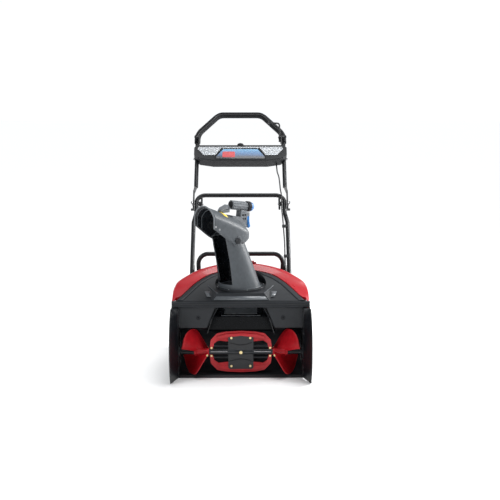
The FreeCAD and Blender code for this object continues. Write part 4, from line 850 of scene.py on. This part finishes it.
def console_details():
    """Plain badge, the lower ledge, frames round label and lamps, lamp domes and the button's collar."""
    badge = [(-88, 655), (-31, 655), (-27, 659), (-27, 686), (-31, 690), (-84, 690), (-88, 686)]
    prism("badge_plate", badge, 34.7, 35.9, "label_blue", "handle_top", edge=0.4, mat=BADGE)
    ledge = [(-196, 648), (-132, 637), (132, 637), (196, 648), (190, 652), (131, 641), (-131, 641),
             (-190, 652)]
    prism("console_ledge", ledge, 33.0, 35.0, "console", "handle_top", edge=0.6)
    brow = [(-212, 726, 33.6), (0, 727, 33.6), (212, 726, 33.6)]
    tube("console_brow", brow, 2.2, "console", "handle_top", on_handle)
    frame_line = [(-122, 646), (122, 646), (122, 661), (87, 709), (-87, 709), (-122, 661)]
    # Each corner is given twice, which keeps the curve's corners tight
    tube("label_frame", [(x, s, 34.2) for x, s in frame_line for _ in (0, 1)], 1.3, "console", "handle_top",
         on_handle, closed=True)
    for side, word in SIDES:
        for k in range(3):
            x = side * (132 + 20 * k)
            lathe("lamp_dome_%s_%d" % (word, k), [(15, 7.5), (19, 7.3), (23, 5), (25, 1.5)], (x, 692, 0),
                  (0, 0, 1), "lens", "handle_top", on_handle)
        trim = [(94, 713), (122, 668), (180, 668), (212, 707), (206, 721)]
        tube("lamp_trim_" + word, [(side * x, s, 34.3) for x, s in trim for _ in (0, 1)], 1.2, "console",
             "handle_top", on_handle)
        screw("console_screw_" + word, (side * 205, 652, 33.6), (0, 0, 1), 4, "console", "handle_top",
              on_handle)
    lathe("button_collar", [(728, 20), (732, 20), (733.5, 18.5), (733.5, 15)], (0, 0, 16), (0, 1, 0),
          "console", "handle_top", on_handle)


console_details()


# ---------- handle ----------

def handle_details():
    """Stops at the ends of the foam grip, hooks beside the folding bolts and rivets on the legs."""
    for side, word in SIDES:
        hook = [(side * 222, 400, 4), (side * 231, 399, 6), (side * 234, 404, 7), (side * 233, 411, 7)]
        tube("fold_hook_" + word, hook, 2.4, "tube_black", "handle_top", on_handle)
        lathe("grip_stop_" + word, [(808, 15.8), (809, 16.6), (813, 16.6), (814, 15.8)], (side * 214, 0, 0),
              (0, 1, 0), "foam", "handle_top", on_handle)
        for s in (300, 330):
            screw("leg_rivet_%s_%d" % (word, s), (side * 216, s, 9.6), (0, 0, 1), 4, "plate_black", "base",
                  on_handle)


handle_details()


CABLE_R = 3.2                           # half the thickness of the control cable


def control_cable():
    """The whole control cable from the console down to the chassis; it bends where the handle folds."""
    run = [(176, 641, 0), (177.5, 600, 8), (179, 580, 12), (186, 540, 20), (190.5, 471, 22), (194.2, 440, 24),
           (194.5, 400, 24), (194.5, 350, 21), (198, 296, 18), (200, 236, 20), (202.4, 176, 16),
           (202.0, 116, 18), (202.3, 56, 12), (202.3, -4, 10), (202.2, -64, 2)]
    path = spline(run, 5)
    verts, turns = [], 14
    for i, p in enumerate(path):
        ahead = (path[min(i + 1, len(path) - 1)] - path[max(i - 1, 0)]).normalized()
        side = ahead.cross(Vector((0, 0, 1))).normalized()
        up = side.cross(ahead)
        for k in range(turns):
            a = 2 * math.pi * k / turns
            verts.append(tuple(p + side * (CABLE_R * math.cos(a)) + up * (CABLE_R * math.sin(a))))
    mesh = bpy.data.meshes.new("control_cable")
    mesh.from_pydata([tuple(on_handle(*v)) for v in verts], [], stack_faces(len(path), turns))
    mesh.validate()
    mesh.materials.append(MATS["cable"])
    mesh.shade_smooth()
    obj = bpy.data.objects.new("control_cable", mesh)
    bpy.context.scene.collection.objects.link(obj)
    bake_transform(obj)
    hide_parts("upper_cable", "lower_cable")


control_cable()


# ---------- sides and back ----------

COVER_RIBS = [(150, 320, 232, 250), (170, 330, 206, 221), (190, 338, 180, 195)]     # y from, to; z from, to


def side_details():
    """Ribs, screws and bosses on the sides, bolts on skids and rims, rear vents, lid lip, battery handle."""
    for side, word in SIDES:
        face = side * COVER_X
        for k, (y0, y1, z0, z1) in enumerate(COVER_RIBS):
            verts = [(face, y0, z0), (face, y1, z0 - 6), (face, y1 - 8, z1 - 6), (face, y0 + 10, z1)]
            rib = piece("cover_rib_%s_%d" % (word, k), verts, [[0, 1, 2, 3]], "plate_black", "base")
            bevel(thicken(rib, 2.2, 0), 0.8, 2)
        for k, (y, z) in enumerate(((84, 272), (228, 262), (386, 240), (342, 100), (90, 50), (236, 44))):
            screw("cover_screw_%s_%d" % (word, k), (side * 283.6, y, z), (side, 0, 0), 5.5, "steel", "base")
        for k, y in enumerate((100, 160, 220)):
            screw("skid_bolt_%s_%d" % (word, k), (side * 266.8, y, 17), (side, 0, 0), 6, "steel", "base")
        lathe("shaft_boss_" + word, [(side * 282, 24), (side * 284.2, 24), (side * 285, 21), (side * 285, 8)],
              (0, ROTOR_Y, ROTOR_Z), (1, 0, 0), "plate_black", "base")
        for k in range(5):
            a = 2 * math.pi * k / 5
            spot = (side * 272.4, AXLE_Y + 30 * math.cos(a), AXLE_Z + 30 * math.sin(a))
            screw("rim_stud_%s_%d" % (word, k), spot, (side, 0, 0), 3.5, "plate_black", word + "_wheel")
    for k in range(7):
        x = 28 * (k - 3)
        block("rear_vent_%d" % k, x - 9, x + 9, 518.4, 520.4, 150, 205, "plate_black", "base")
    tube("lid_lip", [(-40, 453, 397.6), (0, 454.5, 397.8), (40, 453, 397.6)], 2.6, "shroud_red", "lid")
    block("battery_handle", -30, 30, 390, 434, 391, 396, "accent_blue", "battery", on_machine, 2)


side_details()


# ---------- camera, stage and light ----------

def setup_stage():
    """Pale floor, white surroundings and soft lights."""
    mesh = bpy.data.meshes.new("floor")
    size = 40.0
    mesh.from_pydata([(-size, -size, 0), (size, -size, 0), (size, size, 0), (-size, size, 0)], [],
                     [(0, 1, 2, 3)])
    floor = bpy.data.objects.new("floor", mesh)
    bpy.context.scene.collection.objects.link(floor)
    floor.data.materials.append(material("floor_white", (0.93, 0.93, 0.93), 0.7, vary=0.005, bump=0.0,
                                         shine=0.2))
    world = bpy.data.worlds.new("white_room")
    bpy.context.scene.world = world
    world.use_nodes = True
    tree = world.node_tree
    background = tree.nodes["Background"]
    background.inputs["Color"].default_value = (0.94, 0.97, 1.0, 1)
    path = tree.nodes.new("ShaderNodeLightPath")
    level = tree.nodes.new("ShaderNodeMapRange")
    level.inputs["To Min"].default_value = 0.42
    level.inputs["To Max"].default_value = 1.08
    tree.links.new(path.outputs["Is Camera Ray"], level.inputs["Value"])
    tree.links.new(level.outputs["Result"], background.inputs["Strength"])

    def light(name, kind, at, target, power, shape):
        """A lamp; shape is an area's width and height in metres, or a sun's width in degrees."""
        data = bpy.data.lights.new(name, kind)
        data.energy = power
        if kind == "AREA":
            data.shape = "RECTANGLE"
            data.size, data.size_y = shape
        else:
            data.angle = math.radians(shape)
        lamp = bpy.data.objects.new(name, data)
        bpy.context.scene.collection.objects.link(lamp)
        lamp.location = at
        lamp.rotation_euler = (Vector(target) - Vector(at)).to_track_quat("-Z", "Y").to_euler()

    light("overhead_sun", "SUN", (0.5, 0.6, 4), (0, 0, 0), 2.3, 40)
    light("key_light", "AREA", (-2.2, -2.4, 2.2), (0, 0, 0.4), 30, (1.2, 1.6))
    light("right_light", "AREA", (2.4, -1.6, 1.6), (0, 0, 0.4), 20, (0.6, 1.8))
    light("rim_light", "AREA", (1.9, 0.5, 1.3), (0, -0.3, 0.5), 60, (0.5, 1.4))


def setup_camera():
    """Camera in front of the machine, a little above the handle and tipped down ten degrees."""
    data = bpy.data.cameras.new("camera")
    data.sensor_width = 36.0
    data.lens = 62.24
    camera = bpy.data.objects.new("camera", data)
    bpy.context.scene.collection.objects.link(camera)
    camera.location = on_machine(0, -3338.4, 1136.8)
    camera.rotation_euler = (math.radians(80), 0, math.radians(-0.63))
    bpy.context.scene.camera = camera


setup_stage()
setup_camera()
bpy.context.scene.view_settings.view_transform = "Standard"
